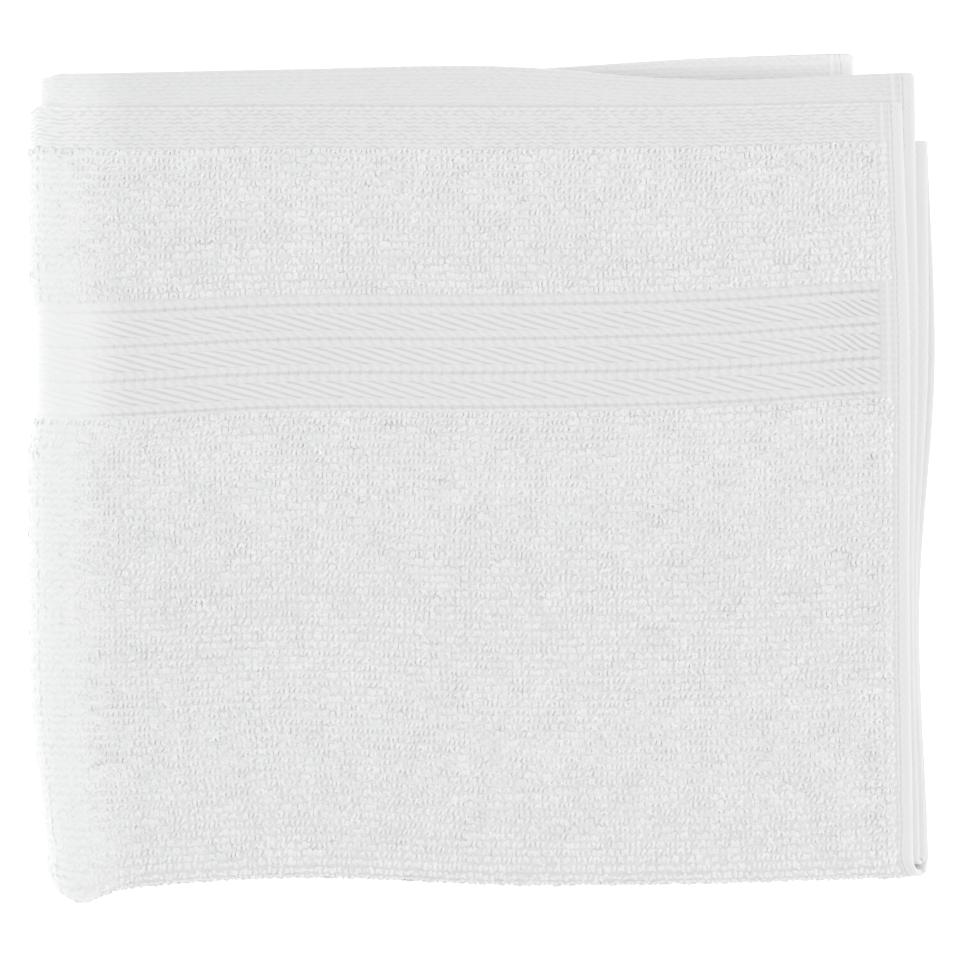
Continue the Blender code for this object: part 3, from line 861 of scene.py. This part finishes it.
    size = random(
        "FLOAT_VECTOR", make.combine(smallest, smallest, smallest), make.combine(largest, largest, largest), 5
    )
    flat_share = make.minus(1.0, make.times(calmness, 0.45))
    flat_share = make.times(flat_share, make.plus(1.0, make.times(other_patch, 0.22)))
    flat_share = make.times(flat_share, given["Squash"])
    wide_share = make.plus(1.0, make.times(calmness, 0.2))
    flattened = make.vector("MULTIPLY", size, make.combine(wide_share, wide_share, flat_share))
    bowing = make.plus(make.times(patch, 1.6), random("FLOAT", -0.7, 0.7, 6))
    to_one_side = make.math("GREATER_THAN", bowing, 0.25)
    to_other_side = make.math("LESS_THAN", bowing, -0.25)
    curled = make.math("GREATER_THAN", random("FLOAT", 0.0, 1.0, 8), 0.88)
    shape = make.minus(make.minus(2.0, make.times(to_one_side, 2.0)), to_other_side)
    shape = make.math("MAXIMUM", shape, make.times(curled, 3.0))

    loops = make.add("GeometryNodeInstanceOnPoints")
    make.link(placed.outputs["Geometry"], loops.inputs["Points"])
    make.link(shapes.outputs[0], loops.inputs["Instance"])
    make.feed(loops.inputs["Pick Instance"], True)
    make.link(shape, loops.inputs["Instance Index"])
    make.link(rotation.outputs[0], loops.inputs["Rotation"])
    make.link(flattened, loops.inputs["Scale"])
    tint = make.add("GeometryNodeStoreNamedAttribute", data_type="FLOAT", domain="INSTANCE")
    make.link(loops.outputs["Instances"], tint.inputs["Geometry"])
    make.feed(tint.inputs["Name"], "tint")
    make.link(random("FLOAT", 0.0, 1.0, 7), tint.inputs["Value"])
    real = make.add("GeometryNodeRealizeInstances")
    make.link(tint.outputs["Geometry"], real.inputs["Geometry"])
    smooth = make.add("GeometryNodeSetShadeSmooth")
    make.link(real.outputs["Geometry"], smooth.inputs["Geometry"])
    finish = make.add("GeometryNodeSetMaterial")
    make.link(smooth.outputs["Geometry"], finish.inputs["Geometry"])
    make.link(given["Material"], finish.inputs["Material"])
    make.link(finish.outputs["Geometry"], end.inputs["Loops"])
    return group


def plain_mesh_of(helper, name):
    """The helper's evaluated shape as a new plain piece. The helper is removed."""
    bpy.context.view_layer.update()
    graph = bpy.context.evaluated_depsgraph_get()
    mesh = bpy.data.meshes.new_from_object(helper.evaluated_get(graph))
    mesh.name = name
    piece = put_in_scene(name, mesh)
    bpy.data.objects.remove(helper, do_unlink=True)
    return piece


def pressed_on_table(piece):
    """Presses the loops that would reach into the table flat on it."""
    points = np.empty(3 * len(piece.data.vertices), np.float32)
    piece.data.vertices.foreach_get("co", points)
    points[2::3] = np.maximum(points[2::3], LOOPS_OVER_TABLE)
    piece.data.vertices.foreach_set("co", points)
    piece.data.update()


def set_inputs(modifier, tree, values):
    """Sets a modifier's inputs by the names of the tree's sockets."""
    identifiers = {
        item.name: item.identifier
        for item in tree.interface.items_tree
        if item.item_type == "SOCKET" and item.in_out == "INPUT"
    }
    for name, value in values.items():
        modifier[identifiers[name]] = value


def fibre_group():
    """The fluff of cotton yarn: a fine height and a tone that varies a little, fine and broad."""
    group, start, end = new_group(
        "ShaderNodeTree",
        "Cotton fibres",
        [
            ("Coordinates", "NodeSocketVector", (0.0, 0.0, 0.0)),
            ("Fibre Size", "NodeSocketFloat", 0.0004),
            ("Fine Tone", "NodeSocketFloat", 0.03),
            ("Broad Tone", "NodeSocketFloat", 0.02),
        ],
        [("Height", "NodeSocketFloat"), ("Tone", "NodeSocketFloat")],
    )
    make = TreeMaker(group)
    given = start.outputs
    fine = make.noise(given["Coordinates"], make.over(1.0, given["Fibre Size"]), 3.0, 0.6)
    broad = make.noise(given["Coordinates"], 38.0, 2.0, 0.5)
    fine_part = make.times(make.minus(fine, 0.5), given["Fine Tone"])
    broad_part = make.times(make.minus(broad, 0.5), given["Broad Tone"])
    tone = make.plus(make.plus(fine_part, broad_part), 1.0)
    make.link(fine, end.inputs["Height"])
    make.link(tone, end.inputs["Tone"])
    return group


def wavy_rows_group():
    """Weft rows that wave from side to side, as in the flat weave of the hems."""
    group, start, end = new_group(
        "ShaderNodeTree",
        "Wavy rows",
        [
            ("Across", "NodeSocketFloat", 0.0),
            ("Along", "NodeSocketFloat", 0.0),
            ("Row Pitch", "NodeSocketFloat", 0.00118),
            ("Wave Length", "NodeSocketFloat", 0.0029),
            ("Wave Height", "NodeSocketFloat", 0.00018),
            ("Gap", "NodeSocketFloat", 0.36),
        ],
        [("Height", "NodeSocketFloat"), ("Dark", "NodeSocketFloat")],
    )
    make = TreeMaker(group)
    given = start.outputs
    turn = make.times(make.over(given["Across"], given["Wave Length"]), 2 * math.pi)
    place = make.over(given["Along"], given["Row Pitch"])
    row = make.math("FLOOR", make.plus(place, 0.5))
    scattered = make.times(make.math("SINE", make.times(row, 12.9898)), 43758.5453)
    shift = make.times(make.math("FRACT", scattered), 3.0)
    lift = make.times(make.math("SINE", make.plus(turn, shift)), given["Wave Height"])
    line = make.plus(row, make.over(lift, given["Row Pitch"]))
    from_line = make.size_of(make.minus(place, line))
    dark = make.minus(1.0, make.step(0.0, given["Gap"], from_line))
    dashes = make.noise(make.combine(given["Across"], make.times(row, 0.0137), 0.0), 520.0, 1.0)
    broken = make.plus(0.45, make.times(make.step(0.38, 0.62, dashes), 0.55))
    make.link(make.minus(1.0, make.times(dark, broken)), end.inputs["Height"])
    make.link(make.times(dark, broken), end.inputs["Dark"])
    return group


def herringbone_group():
    """The border: grooves, and in each band between them a rope row, slanted threads and a rope row."""
    group, start, end = new_group(
        "ShaderNodeTree",
        "Herringbone bands",
        [
            ("Across", "NodeSocketFloat", 0.0),
            ("Along", "NodeSocketFloat", 0.0),
            ("First Groove", "NodeSocketFloat", 0.0),
            ("Band Pitch", "NodeSocketFloat", 0.0099),
            ("Thread Pitch", "NodeSocketFloat", 0.00605),
            ("Thread Slope", "NodeSocketFloat", 0.345),
            ("Rope Pitch", "NodeSocketFloat", 0.00304),
            ("Dot Pitch", "NodeSocketFloat", 0.00304),
            ("Band End", "NodeSocketFloat", 0.24),
            ("Spine", "NodeSocketFloat", -0.009),
            ("Faint Reach", "NodeSocketFloat", 0.008),
        ],
        [("Height", "NodeSocketFloat"), ("Dark", "NodeSocketFloat")],
    )
    make = TreeMaker(group)
    given = start.outputs
    from_groove = make.minus(given["Along"], given["First Groove"])
    in_band = make.math("FRACT", make.over(from_groove, given["Band Pitch"]))
    to_groove = make.minus(0.5, make.size_of(make.minus(in_band, 0.5)))
    groove = make.minus(1.0, make.step(0.012, 0.052, to_groove))
    dots = make.math("FRACT", make.over(given["Across"], given["Dot Pitch"]))
    dot = make.step(0.28, 0.46, make.size_of(make.minus(dots, 0.5)))
    wide_groove = make.minus(1.0, make.step(0.03, 0.085, to_groove))
    groove_dark = make.times(groove, 0.72)
    groove_dark = make.math("MAXIMUM", groove_dark, make.times(wide_groove, dot))

    in_rope = make.minus(1.0, make.step(0.225, 0.26, to_groove))
    side = make.math("SIGN", make.minus(in_band, 0.5))
    rope_slant = make.times(from_groove, -0.8)
    rope = make.over(make.plus(given["Across"], rope_slant), given["Rope Pitch"])
    rope = make.math("SINE", make.times(rope, 2 * math.pi))
    rope_dark = make.times(make.plus(0.5, make.times(rope, 0.5)), 0.34)
    rope_dark = make.times(rope_dark, in_rope)

    line = make.minus(1.0, make.step(0.008, 0.030, make.size_of(make.minus(to_groove, 0.245))))
    line_dots = make.plus(0.22, make.times(dot, 0.25))
    line_dark = make.times(line, line_dots)

    tight_from = make.minus(given["Band End"], TIGHT_START)
    tight = make.step(tight_from, make.minus(given["Band End"], TIGHT_FULL), given["Across"])
    squeezed = make.times(make.minus(given["Across"], tight_from), tight)
    run = make.plus(given["Across"], make.times(squeezed, TIGHTER))
    run = make.over(run, given["Thread Pitch"])
    fall = make.over(from_groove, make.times(given["Thread Pitch"], given["Thread Slope"]))
    to_side = make.over(make.minus(in_band, 0.5), 0.25)
    flatter = make.times(make.math("POWER", make.size_of(to_side), 5.0), side)
    fall = make.plus(fall, make.times(flatter, 0.30))
    thread = make.math("FRACT", make.minus(run, fall))
    from_crest = make.size_of(make.minus(thread, 0.5))
    thread_dark = make.times(make.step(0.27, 0.48, from_crest), 0.68)
    thread_dark = make.plus(thread_dark, make.times(make.step(0.0, 0.5, from_crest), 0.32))
    in_threads = make.step(0.25, 0.275, to_groove)
    thread_dark = make.times(make.times(thread_dark, in_threads), 0.85)

    dark = make.math("MAXIMUM", groove_dark, rope_dark)
    dark = make.math("MAXIMUM", dark, make.math("MAXIMUM", line_dark, thread_dark))
    past_end = make.minus(make.size_of(given["Across"]), given["Band End"])
    within = make.minus(1.0, make.step(-0.0003, 0.0002, past_end))
    end_gap = make.minus(1.0, make.step(0.0002, 0.0008, make.size_of(past_end)))
    dark = make.math("MAXIMUM", make.times(dark, within), make.times(end_gap, 0.45))
    # The painted shade fades towards the spine's fold, as painted light there
    from_spine = make.size_of(make.minus(given["Across"], given["Spine"]))
    clear = make.step(given["Faint Reach"], make.times(given["Faint Reach"], 3.2), from_spine)
    uneven = make.noise(make.combine(given["Across"], given["Along"], 0.0), 420.0, 2.0)
    uneven = make.plus(0.62, make.times(uneven, 0.76))
    dark = make.times(dark, make.times(uneven, make.plus(0.3, make.times(clear, 0.7))))
    # Darker painted shade where the threads lie closer
    dark = make.times(dark, make.plus(1.0, make.times(tight, TIGHT_DARKER)))
    make.link(make.minus(1.0, dark), end.inputs["Height"])
    make.link(dark, end.inputs["Dark"])
    return group


def selvage_chain_group():
    """Chain stitches along the selvage, with a dark line to each side of the cord beyond them."""
    group, start, end = new_group(
        "ShaderNodeTree",
        "Selvage chain",
        [
            ("Across", "NodeSocketFloat", 0.0),
            ("Along", "NodeSocketFloat", 0.0),
            ("Half Width", "NodeSocketFloat", 0.248),
            ("Chain Middle", "NodeSocketFloat", 0.0024),
            ("Chain Swing", "NodeSocketFloat", 0.0007),
            ("Stitch Length", "NodeSocketFloat", 0.0044),
            ("Thread Width", "NodeSocketFloat", 0.00028),
            ("Fine Line", "NodeSocketFloat", 0.0035),
            ("Strip", "NodeSocketFloat", 0.0051),
            ("Second Strip", "NodeSocketFloat", 0.0076),
        ],
        [("Height", "NodeSocketFloat"), ("Dark", "NodeSocketFloat")],
    )
    make = TreeMaker(group)
    given = start.outputs
    from_edge = make.minus(given["Half Width"], make.size_of(given["Across"]))
    from_middle = make.minus(from_edge, given["Chain Middle"])
    turn = make.times(make.over(given["Along"], given["Stitch Length"]), 2 * math.pi)
    swing = make.times(make.math("SINE", turn), given["Chain Swing"])
    one = make.size_of(make.minus(from_middle, swing))
    other = make.size_of(make.plus(from_middle, swing))
    chain = make.minus(1.0, make.step(0.0, given["Thread Width"], make.math("MINIMUM", one, other)))
    bead = make.times(make.size_of(make.math("SINE", turn)), 0.5)
    fine = make.size_of(make.minus(from_edge, given["Fine Line"]))
    fine = make.minus(1.0, make.step(0.0, make.times(given["Thread Width"], 1.3), fine))
    fine = make.times(fine, make.plus(0.6, bead))
    to_strip = make.size_of(make.minus(from_edge, given["Strip"]))
    to_second = make.size_of(make.minus(from_edge, given["Second Strip"]))
    wide = make.minus(1.0, make.step(0.0005, 0.0009, make.math("MINIMUM", to_strip, to_second)))
    wide = make.times(wide, make.plus(0.25, make.times(bead, 0.7)))
    dark = make.math("MAXIMUM", make.times(chain, 0.22), make.math("MAXIMUM", fine, wide))
    make.link(make.minus(1.0, dark), end.inputs["Height"])
    make.link(dark, end.inputs["Dark"])
    return group


def cotton_material(name, colour, roughness):
    """White cotton with its soft sheen set on the shader. Returns the material, a maker and the shader."""
    material = bpy.data.materials.new(name)
    material.use_nodes = True
    make = TreeMaker(material.node_tree)
    shader = material.node_tree.nodes["Principled BSDF"]
    shader.inputs["Base Color"].default_value = colour
    shader.inputs["Roughness"].default_value = roughness
    shader.inputs["Specular IOR Level"].default_value = 0.15
    shader.inputs["Sheen Weight"].default_value = 0.12
    shader.inputs["Sheen Roughness"].default_value = 0.6
    return material, make, shader


def bump(make, shader, height, distance, strength=1.0):
    """Feeds the shader's normal from a height."""
    node = make.add("ShaderNodeBump")
    make.feed(node.inputs["Height"], height)
    make.feed(node.inputs["Distance"], distance)
    make.feed(node.inputs["Strength"], strength)
    make.link(node.outputs["Normal"], shader.inputs["Normal"])


def group_node(make, group, **values):
    """A group placed in a material with its own values."""
    node = make.add("ShaderNodeGroup", node_tree=group)
    for name, value in values.items():
        make.feed(node.inputs[name.replace("_", " ")], value)
    return node


def shared_groups():
    """The effects that more than one material uses, made once."""
    makers = {
        "Cotton fibres": fibre_group,
        "Wavy rows": wavy_rows_group,
        "Herringbone bands": herringbone_group,
        "Selvage chain": selvage_chain_group,
    }
    return {name: bpy.data.node_groups.get(name) or made() for name, made in makers.items()}


def loop_material(colour):
    """The pile's yarn: each loop a little lighter or darker than the next, and fluffy."""
    material, make, shader = cotton_material("terry_loops", colour, 0.95)
    groups = shared_groups()
    place = make.add("ShaderNodeTexCoord").outputs["Object"]
    fibres = group_node(make, groups["Cotton fibres"], Coordinates=place, Fibre_Size=0.0003, Fine_Tone=0.03)
    tint = make.add("ShaderNodeAttribute", attribute_name="tint").outputs["Fac"]
    patches = make.noise(place, 210.0, 3.0)
    clouds = make.noise(place, 90.0, 2.0)
    own = make.plus(0.900, make.times(tint, 0.03))
    own = make.plus(own, make.times(patches, 0.10))
    own = make.plus(own, make.times(clouds, 0.07))
    own = make.times(fibres.outputs["Tone"], own)
    make.link(make.vector("SCALE", colour[:3], own), shader.inputs["Base Color"])
    bump(make, shader, fibres.outputs["Height"], 0.00006)
    return material


def cloth_places(make):
    """The place on the flat cloth, in metres: across and along."""
    uv = make.add("ShaderNodeUVMap", uv_map="cloth").outputs["UV"]
    parts = make.add("ShaderNodeSeparateXYZ")
    make.link(uv, parts.inputs[0])
    pulled = make.add("ShaderNodeTexNoise", noise_dimensions="3D")
    make.link(uv, pulled.inputs["Vector"])
    make.feed(pulled.inputs["Scale"], 140.0)
    make.feed(pulled.inputs["Detail"], 4.5)
    make.feed(pulled.inputs["Roughness"], 0.62)
    pull = make.add("ShaderNodeSeparateXYZ")
    make.link(pulled.outputs["Color"], pull.inputs[0])
    shift_x = make.times(make.minus(pull.outputs["X"], 0.5), 0.0011)
    shift_y = make.times(make.minus(pull.outputs["Y"], 0.5), 0.0005)
    return make.plus(parts.outputs["X"], shift_x), make.plus(parts.outputs["Y"], shift_y)


def ground_material(colour):
    """The terry between the loops and on the inner layers: rows of close loops in relief, with painted shade
    between the rows and under the loops.
    """
    material, make, shader = cotton_material("terry_ground", colour, 0.97)
    groups = shared_groups()
    place = make.add("ShaderNodeTexCoord").outputs["Object"]
    fibres = group_node(make, groups["Cotton fibres"], Coordinates=place, Fibre_Size=0.0008, Fine_Tone=0.10)
    across, along = cloth_places(make)
    rows = group_node(
        make,
        groups["Wavy rows"],
        Across=across,
        Along=along,
        Row_Pitch=0.0022,
        Wave_Length=0.00155,
        Wave_Height=0.0003,
    )
    height = make.plus(fibres.outputs["Height"], make.times(rows.outputs["Height"], 0.5))
    # Painted shade: darker between the ground's rows of loops
    dark = make.times(rows.outputs["Dark"], 0.06)
    # Painted shade under the loops, which comes in away from the spine's fold
    from_spine = make.size_of(make.minus(across, SPINE))
    under_loops = make.step(SPINE_HALF_ARC, SPINE_FADE, from_spine)
    dark = make.plus(dark, make.times(under_loops, SHADE_UNDER_LOOPS))
    tone = make.times(fibres.outputs["Tone"], make.minus(1.0, dark))
    make.link(make.vector("SCALE", colour[:3], tone), shader.inputs["Base Color"])
    bump(make, shader, height, 0.00015)
    return material


def woven_material(name, colour, group_name, darkness, depth, **values):
    """A flat weave: the group's pattern as relief and as painted shade between its threads."""
    material, make, shader = cotton_material(name, colour, 0.9)
    groups = shared_groups()
    place = make.add("ShaderNodeTexCoord").outputs["Object"]
    fibres = group_node(make, groups["Cotton fibres"], Coordinates=place, Fibre_Size=0.0004, Fine_Tone=0.05)
    across, along = cloth_places(make)
    weave = group_node(make, groups[group_name], Across=across, Along=along, **values)
    # Painted shade: the pattern's dark places are mixed towards the colour of the shade between threads
    shade = make.add("ShaderNodeMix", data_type="RGBA")
    make.link(make.times(weave.outputs["Dark"], darkness), shade.inputs["Factor"])
    make.feed(shade.inputs[6], (1.0, 1.0, 1.0, 1.0))
    make.feed(shade.inputs[7], PAINTED_SHADE_BETWEEN_THREADS)
    # Painted light: the flat weaves lighter round the last fold and on the half below it
    past_spine = make.step(SPINE_HALF_ARC, SPINE_FADE, make.minus(across, SPINE))
    painted_light_mask = make.minus(1.0, past_spine)
    lighter = make.plus(1.0, make.times(painted_light_mask, PAINTED_LIGHT_AT_SPINE))
    tone = make.vector("SCALE", shade.outputs[2], make.times(fibres.outputs["Tone"], lighter))
    make.link(make.vector("MULTIPLY", tone, colour[:3]), shader.inputs["Base Color"])
    height = make.plus(weave.outputs["Height"], make.times(fibres.outputs["Height"], 0.25))
    bump(make, shader, height, depth)
    return material


class TowelClothSettings(bpy.types.PropertyGroup):
    """The cloth without its loops."""

    colour: bpy.props.FloatVectorProperty(
        name="Colour",
        description="Colour of the cotton",
        subtype="COLOR",
        size=4,
        default=(0.905, 0.905, 0.905, 1.0),
    )
    mesh_pitch: bpy.props.FloatProperty(
        name="Mesh pitch", description="Distance between the cloth's vertices", unit="LENGTH", default=0.0065
    )
    weave_depth: bpy.props.FloatProperty(
        name="Weave depth", description="Relief of the flat weaves", unit="LENGTH", default=0.0003
    )


class TowelPileSettings(bpy.types.PropertyGroup):
    """The loops of the pile."""

    colour: bpy.props.FloatVectorProperty(
        name="Colour",
        description="Colour of the loops",
        subtype="COLOR",
        size=4,
        default=(0.99, 0.99, 0.99, 1.0),
    )
    row_pitch: bpy.props.FloatProperty(
        name="Row pitch", description="Distance between rows of loops", unit="LENGTH", default=0.00227
    )
    column_pitch: bpy.props.FloatProperty(
        name="Column pitch", description="Distance between loops in a row", unit="LENGTH", default=0.00150
    )
    loop_width: bpy.props.FloatProperty(
        name="Loop width", description="How far a loop bows to its side", unit="LENGTH", default=0.00070
    )
    loop_length: bpy.props.FloatProperty(
        name="Loop length", description="How far a loop reaches over", unit="LENGTH", default=0.00136
    )
    loop_rise: bpy.props.FloatProperty(
        name="Loop rise", description="How far a loop stands up", unit="LENGTH", default=0.00042
    )
    yarn_radius: bpy.props.FloatProperty(
        name="Yarn radius", description="Radius of the pile's yarn", unit="LENGTH", default=0.00056
    )
    wander: bpy.props.FloatProperty(
        name="Wander", description="How far a loop may stand out of line", unit="LENGTH", default=0.00034
    )
    twist: bpy.props.FloatProperty(
        name="Twist", description="How far a loop may turn", unit="ROTATION", default=math.radians(24)
    )
    tilt: bpy.props.FloatProperty(
        name="Tilt", description="How far a loop may tip", unit="ROTATION", default=math.radians(10)
    )
    uneven: bpy.props.FloatProperty(
        name="Uneven", description="How much the loops' sizes differ, as a share", default=0.20
    )
    squash: bpy.props.FloatProperty(
        name="Squash", description="How high the squashed loops are, as a share of round ones", default=0.90
    )
    patch_size: bpy.props.FloatProperty(
        name="Patch size", description="Size of the patches that lean alike", unit="LENGTH", default=0.008
    )
    patch_turn: bpy.props.FloatProperty(
        name="Patch turn", description="How far a patch's loops turn", unit="ROTATION", default=math.radians(8)
    )
    seed: bpy.props.IntProperty(name="Seed", description="Seed of the loops' disorder", default=11)


# The pile's settings that its node tree takes as they are
LOOP_SETTINGS = (
    "loop_width", "loop_length", "loop_rise", "yarn_radius", "twist", "tilt", "uneven", "squash", "patch_size",
    "patch_turn",
)


class TowelStageSettings(bpy.types.PropertyGroup):
    """The table, the lights and the camera."""

    floor_glow: bpy.props.FloatProperty(
        name="Table glow", description="How much the white table shines of itself", default=0.50
    )
    overhead: bpy.props.FloatProperty(
        name="Overhead light", description="Power of the light above", unit="POWER", default=1.85
    )
    sides: bpy.props.FloatProperty(
        name="Side lights", description="Power of each light at a side", unit="POWER", default=3.4
    )
    frame_width: bpy.props.FloatProperty(
        name="Width in view", description="Width that the camera takes in", unit="LENGTH", default=0.2784
    )


class TOWEL_OT_cloth(bpy.types.Operator):
    """Make the folded cloth with its hems, borders and selvages"""

    bl_idname = "towel.make_cloth"
    bl_label = "Make cloth"

    def execute(self, context):
        settings = context.scene.towel_cloth
        mesh, places = folded_cloth(settings)
        colour = tuple(settings.colour)
        depth = settings.weave_depth
        mesh.materials.append(ground_material(tuple(context.scene.towel_pile.colour)))
        mesh.materials.append(woven_material("hem_weave", colour, "Wavy rows", 0.10, 0.5 * depth))
        first_groove = BORDER_FROM_EDGE + FIRST_GROOVE_IN_BORDER
        mesh.materials.append(
            woven_material(
                "border_weave",
                colour,
                "Herringbone bands",
                0.17,
                0.5 * depth,
                First_Groove=first_groove,
                Band_Pitch=GROOVE_PITCH,
                Band_End=TOWEL_WIDTH / 2 - BAND_END_FROM_SELVAGE,
            )
        )
        mesh.materials.append(woven_material("selvage_weave", colour, "Selvage chain", 0.15, 0.4 * depth))
        duller = tuple(0.97 * part for part in colour[:3]) + (1.0,)
        mesh.materials.append(woven_material("inner_hem_weave", duller, "Wavy rows", 0.05, 0.3 * depth))
        for face in mesh.polygons:
            middle = places[list(face.vertices)].mean(axis=0)
            face.material_index = zone_of(middle[0], middle[1])
        cloth = put_in_scene("towel_cloth", mesh)
        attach(cloth, "root")
        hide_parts("towel")
        return {"FINISHED"}


class TOWEL_OT_pile(bpy.types.Operator):
    """Make the loops of the pile, field by field"""

    bl_idname = "towel.make_pile"
    bl_label = "Make pile"

    def execute(self, context):
        settings = context.scene.towel_pile
        tree = pile_tree()
        material = loop_material(tuple(settings.colour))
        for number, field in enumerate(PILE_FIELDS):
            wide = field["across"][1] - field["across"][0]
            long = field["along"][1] - field["along"][0]
            yarn = YARN_ABOVE if field["across"][1] > SPINE else YARN_BELOW
            bed = loop_bed(field, yarn["pressed"])
            modifier = bed.modifiers.new("loops", "NODES")
            modifier.node_group = tree
            values = {
                "Columns": round(wide / settings.column_pitch) + 1,
                "Rows": round(long / settings.row_pitch) + 1,
                "Wander": (settings.wander / wide, settings.wander / long, 0.0),
                "Yarn Sides": yarn["sides"],
                "Loop Segments": yarn["segments"],
                "Seed": settings.seed + 20 * number,
                "Material": material,
            }
            for name in LOOP_SETTINGS:
                values[name.replace("_", " ").title()] = getattr(settings, name)
            set_inputs(modifier, tree, values)
            piece = plain_mesh_of(bed, field["name"])
            pressed_on_table(piece)
            if len(piece.data.polygons) < 1000:
                raise RuntimeError(f"{field['name']} has no loops")
            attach(piece, "root")
        return {"FINISHED"}


def area_light(name, place, size, power, aim):
    """A soft light of a size, at a place, turned to the aim."""
    data = bpy.data.lights.new(name, "AREA")
    data.shape = "RECTANGLE"
    data.size, data.size_y = size
    data.energy = power
    light = bpy.data.objects.new(name, data)
    bpy.context.scene.collection.objects.link(light)
    light.location = place
    light.rotation_euler = (Vector(aim) - Vector(place)).to_track_quat("-Z", "Y").to_euler()
    light.visible_camera = False
    return light


# The strength of the soft light from all around
WORLD_STRENGTH = 0.623
# The camera's height over the table and the height it is set for, in metres, and its sensor's width, in
# millimetres
CAMERA_HEIGHT = 3.0
CAMERA_AIM_HEIGHT = 0.026
SENSOR_WIDTH = 36.0


class TOWEL_OT_stage(bpy.types.Operator):
    """Make the white table, the soft light and the camera above"""

    bl_idname = "towel.make_stage"
    bl_label = "Make stage"

    def execute(self, context):
        scene = context.scene
        settings = scene.towel_stage
        bpy.ops.mesh.primitive_plane_add(size=12.0, location=(0.0, 0.0, 0.0))
        table = context.object
        table.name = "table"
        white = bpy.data.materials.new("white_table")
        white.use_nodes = True
        shader = white.node_tree.nodes["Principled BSDF"]
        shader.inputs["Base Color"].default_value = (0.95, 0.95, 0.95, 1.0)
        shader.inputs["Roughness"].default_value = 0.8
        shader.inputs["Specular IOR Level"].default_value = 0.1
        shader.inputs["Emission Color"].default_value = (1.0, 1.0, 1.0, 1.0)
        shader.inputs["Emission Strength"].default_value = settings.floor_glow
        table.data.materials.append(white)

        world = bpy.data.worlds.new("soft_white")
        world.use_nodes = True
        world.node_tree.nodes["Background"].inputs["Color"].default_value = (1.0, 1.0, 0.998, 1.0)
        world.node_tree.nodes["Background"].inputs["Strength"].default_value = WORLD_STRENGTH
        scene.world = world
        area_light("overhead", (0.0, 0.1, 1.5), (1.4, 1.4), settings.overhead, (0.0, 0.0, 0.0))
        left = area_light("left", (-1.0, 0.1, 0.95), (0.9, 1.4), settings.sides, (0.0, 0.0, 0.0))
        left.data.color = (0.93, 0.96, 1.0)
        area_light("right", (1.1, 0.1, 0.9), (0.9, 1.4), 1.2 * settings.sides, (0.0, 0.0, 0.0))

        data = bpy.data.cameras.new("above")
        data.type = "PERSP"
        data.sensor_width = SENSOR_WIDTH
        data.clip_end = 20.0
        data.lens = SENSOR_WIDTH * (CAMERA_HEIGHT - CAMERA_AIM_HEIGHT) / settings.frame_width
        camera = bpy.data.objects.new("above", data)
        scene.collection.objects.link(camera)
        camera.location = (-0.00116, 0.00058, CAMERA_HEIGHT)
        camera.rotation_euler = (0.0, 0.0, 0.0)
        scene.camera = camera
        scene.view_settings.view_transform = "Standard"
        scene.view_settings.look = "None"
        return {"FINISHED"}


class TOWEL_PT_panel(bpy.types.Panel):
    """The towel's settings and steps"""

    bl_idname = "TOWEL_PT_panel"
    bl_label = "Folded hand towel"
    bl_space_type = "VIEW_3D"
    bl_region_type = "UI"
    bl_category = "Towel"

    def draw(self, context):
        steps = (
            (context.scene.towel_cloth, TOWEL_OT_cloth),
            (context.scene.towel_pile, TOWEL_OT_pile),
            (context.scene.towel_stage, TOWEL_OT_stage),
        )
        for settings, operator in steps:
            box = self.layout.box()
            for name in settings.__annotations__:
                box.prop(settings, name)
            box.operator(operator.bl_idname)


CLASSES = (
    TowelClothSettings,
    TowelPileSettings,
    TowelStageSettings,
    TOWEL_OT_cloth,
    TOWEL_OT_pile,
    TOWEL_OT_stage,
    TOWEL_PT_panel,
)
SETTINGS = {
    "towel_cloth": TowelClothSettings,
    "towel_pile": TowelPileSettings,
    "towel_stage": TowelStageSettings,
}


def register():
    for kind in CLASSES:
        bpy.utils.register_class(kind)
    for name, kind in SETTINGS.items():
        setattr(bpy.types.Scene, name, bpy.props.PointerProperty(type=kind))


def unregister():
    for name in SETTINGS:
        delattr(bpy.types.Scene, name)
    for kind in reversed(CLASSES):
        bpy.utils.unregister_class(kind)


def main():
    register()
    bpy.ops.towel.make_stage()
    bpy.ops.towel.make_cloth()
    bpy.ops.towel.make_pile()


if __name__ == "__main__":
    main()
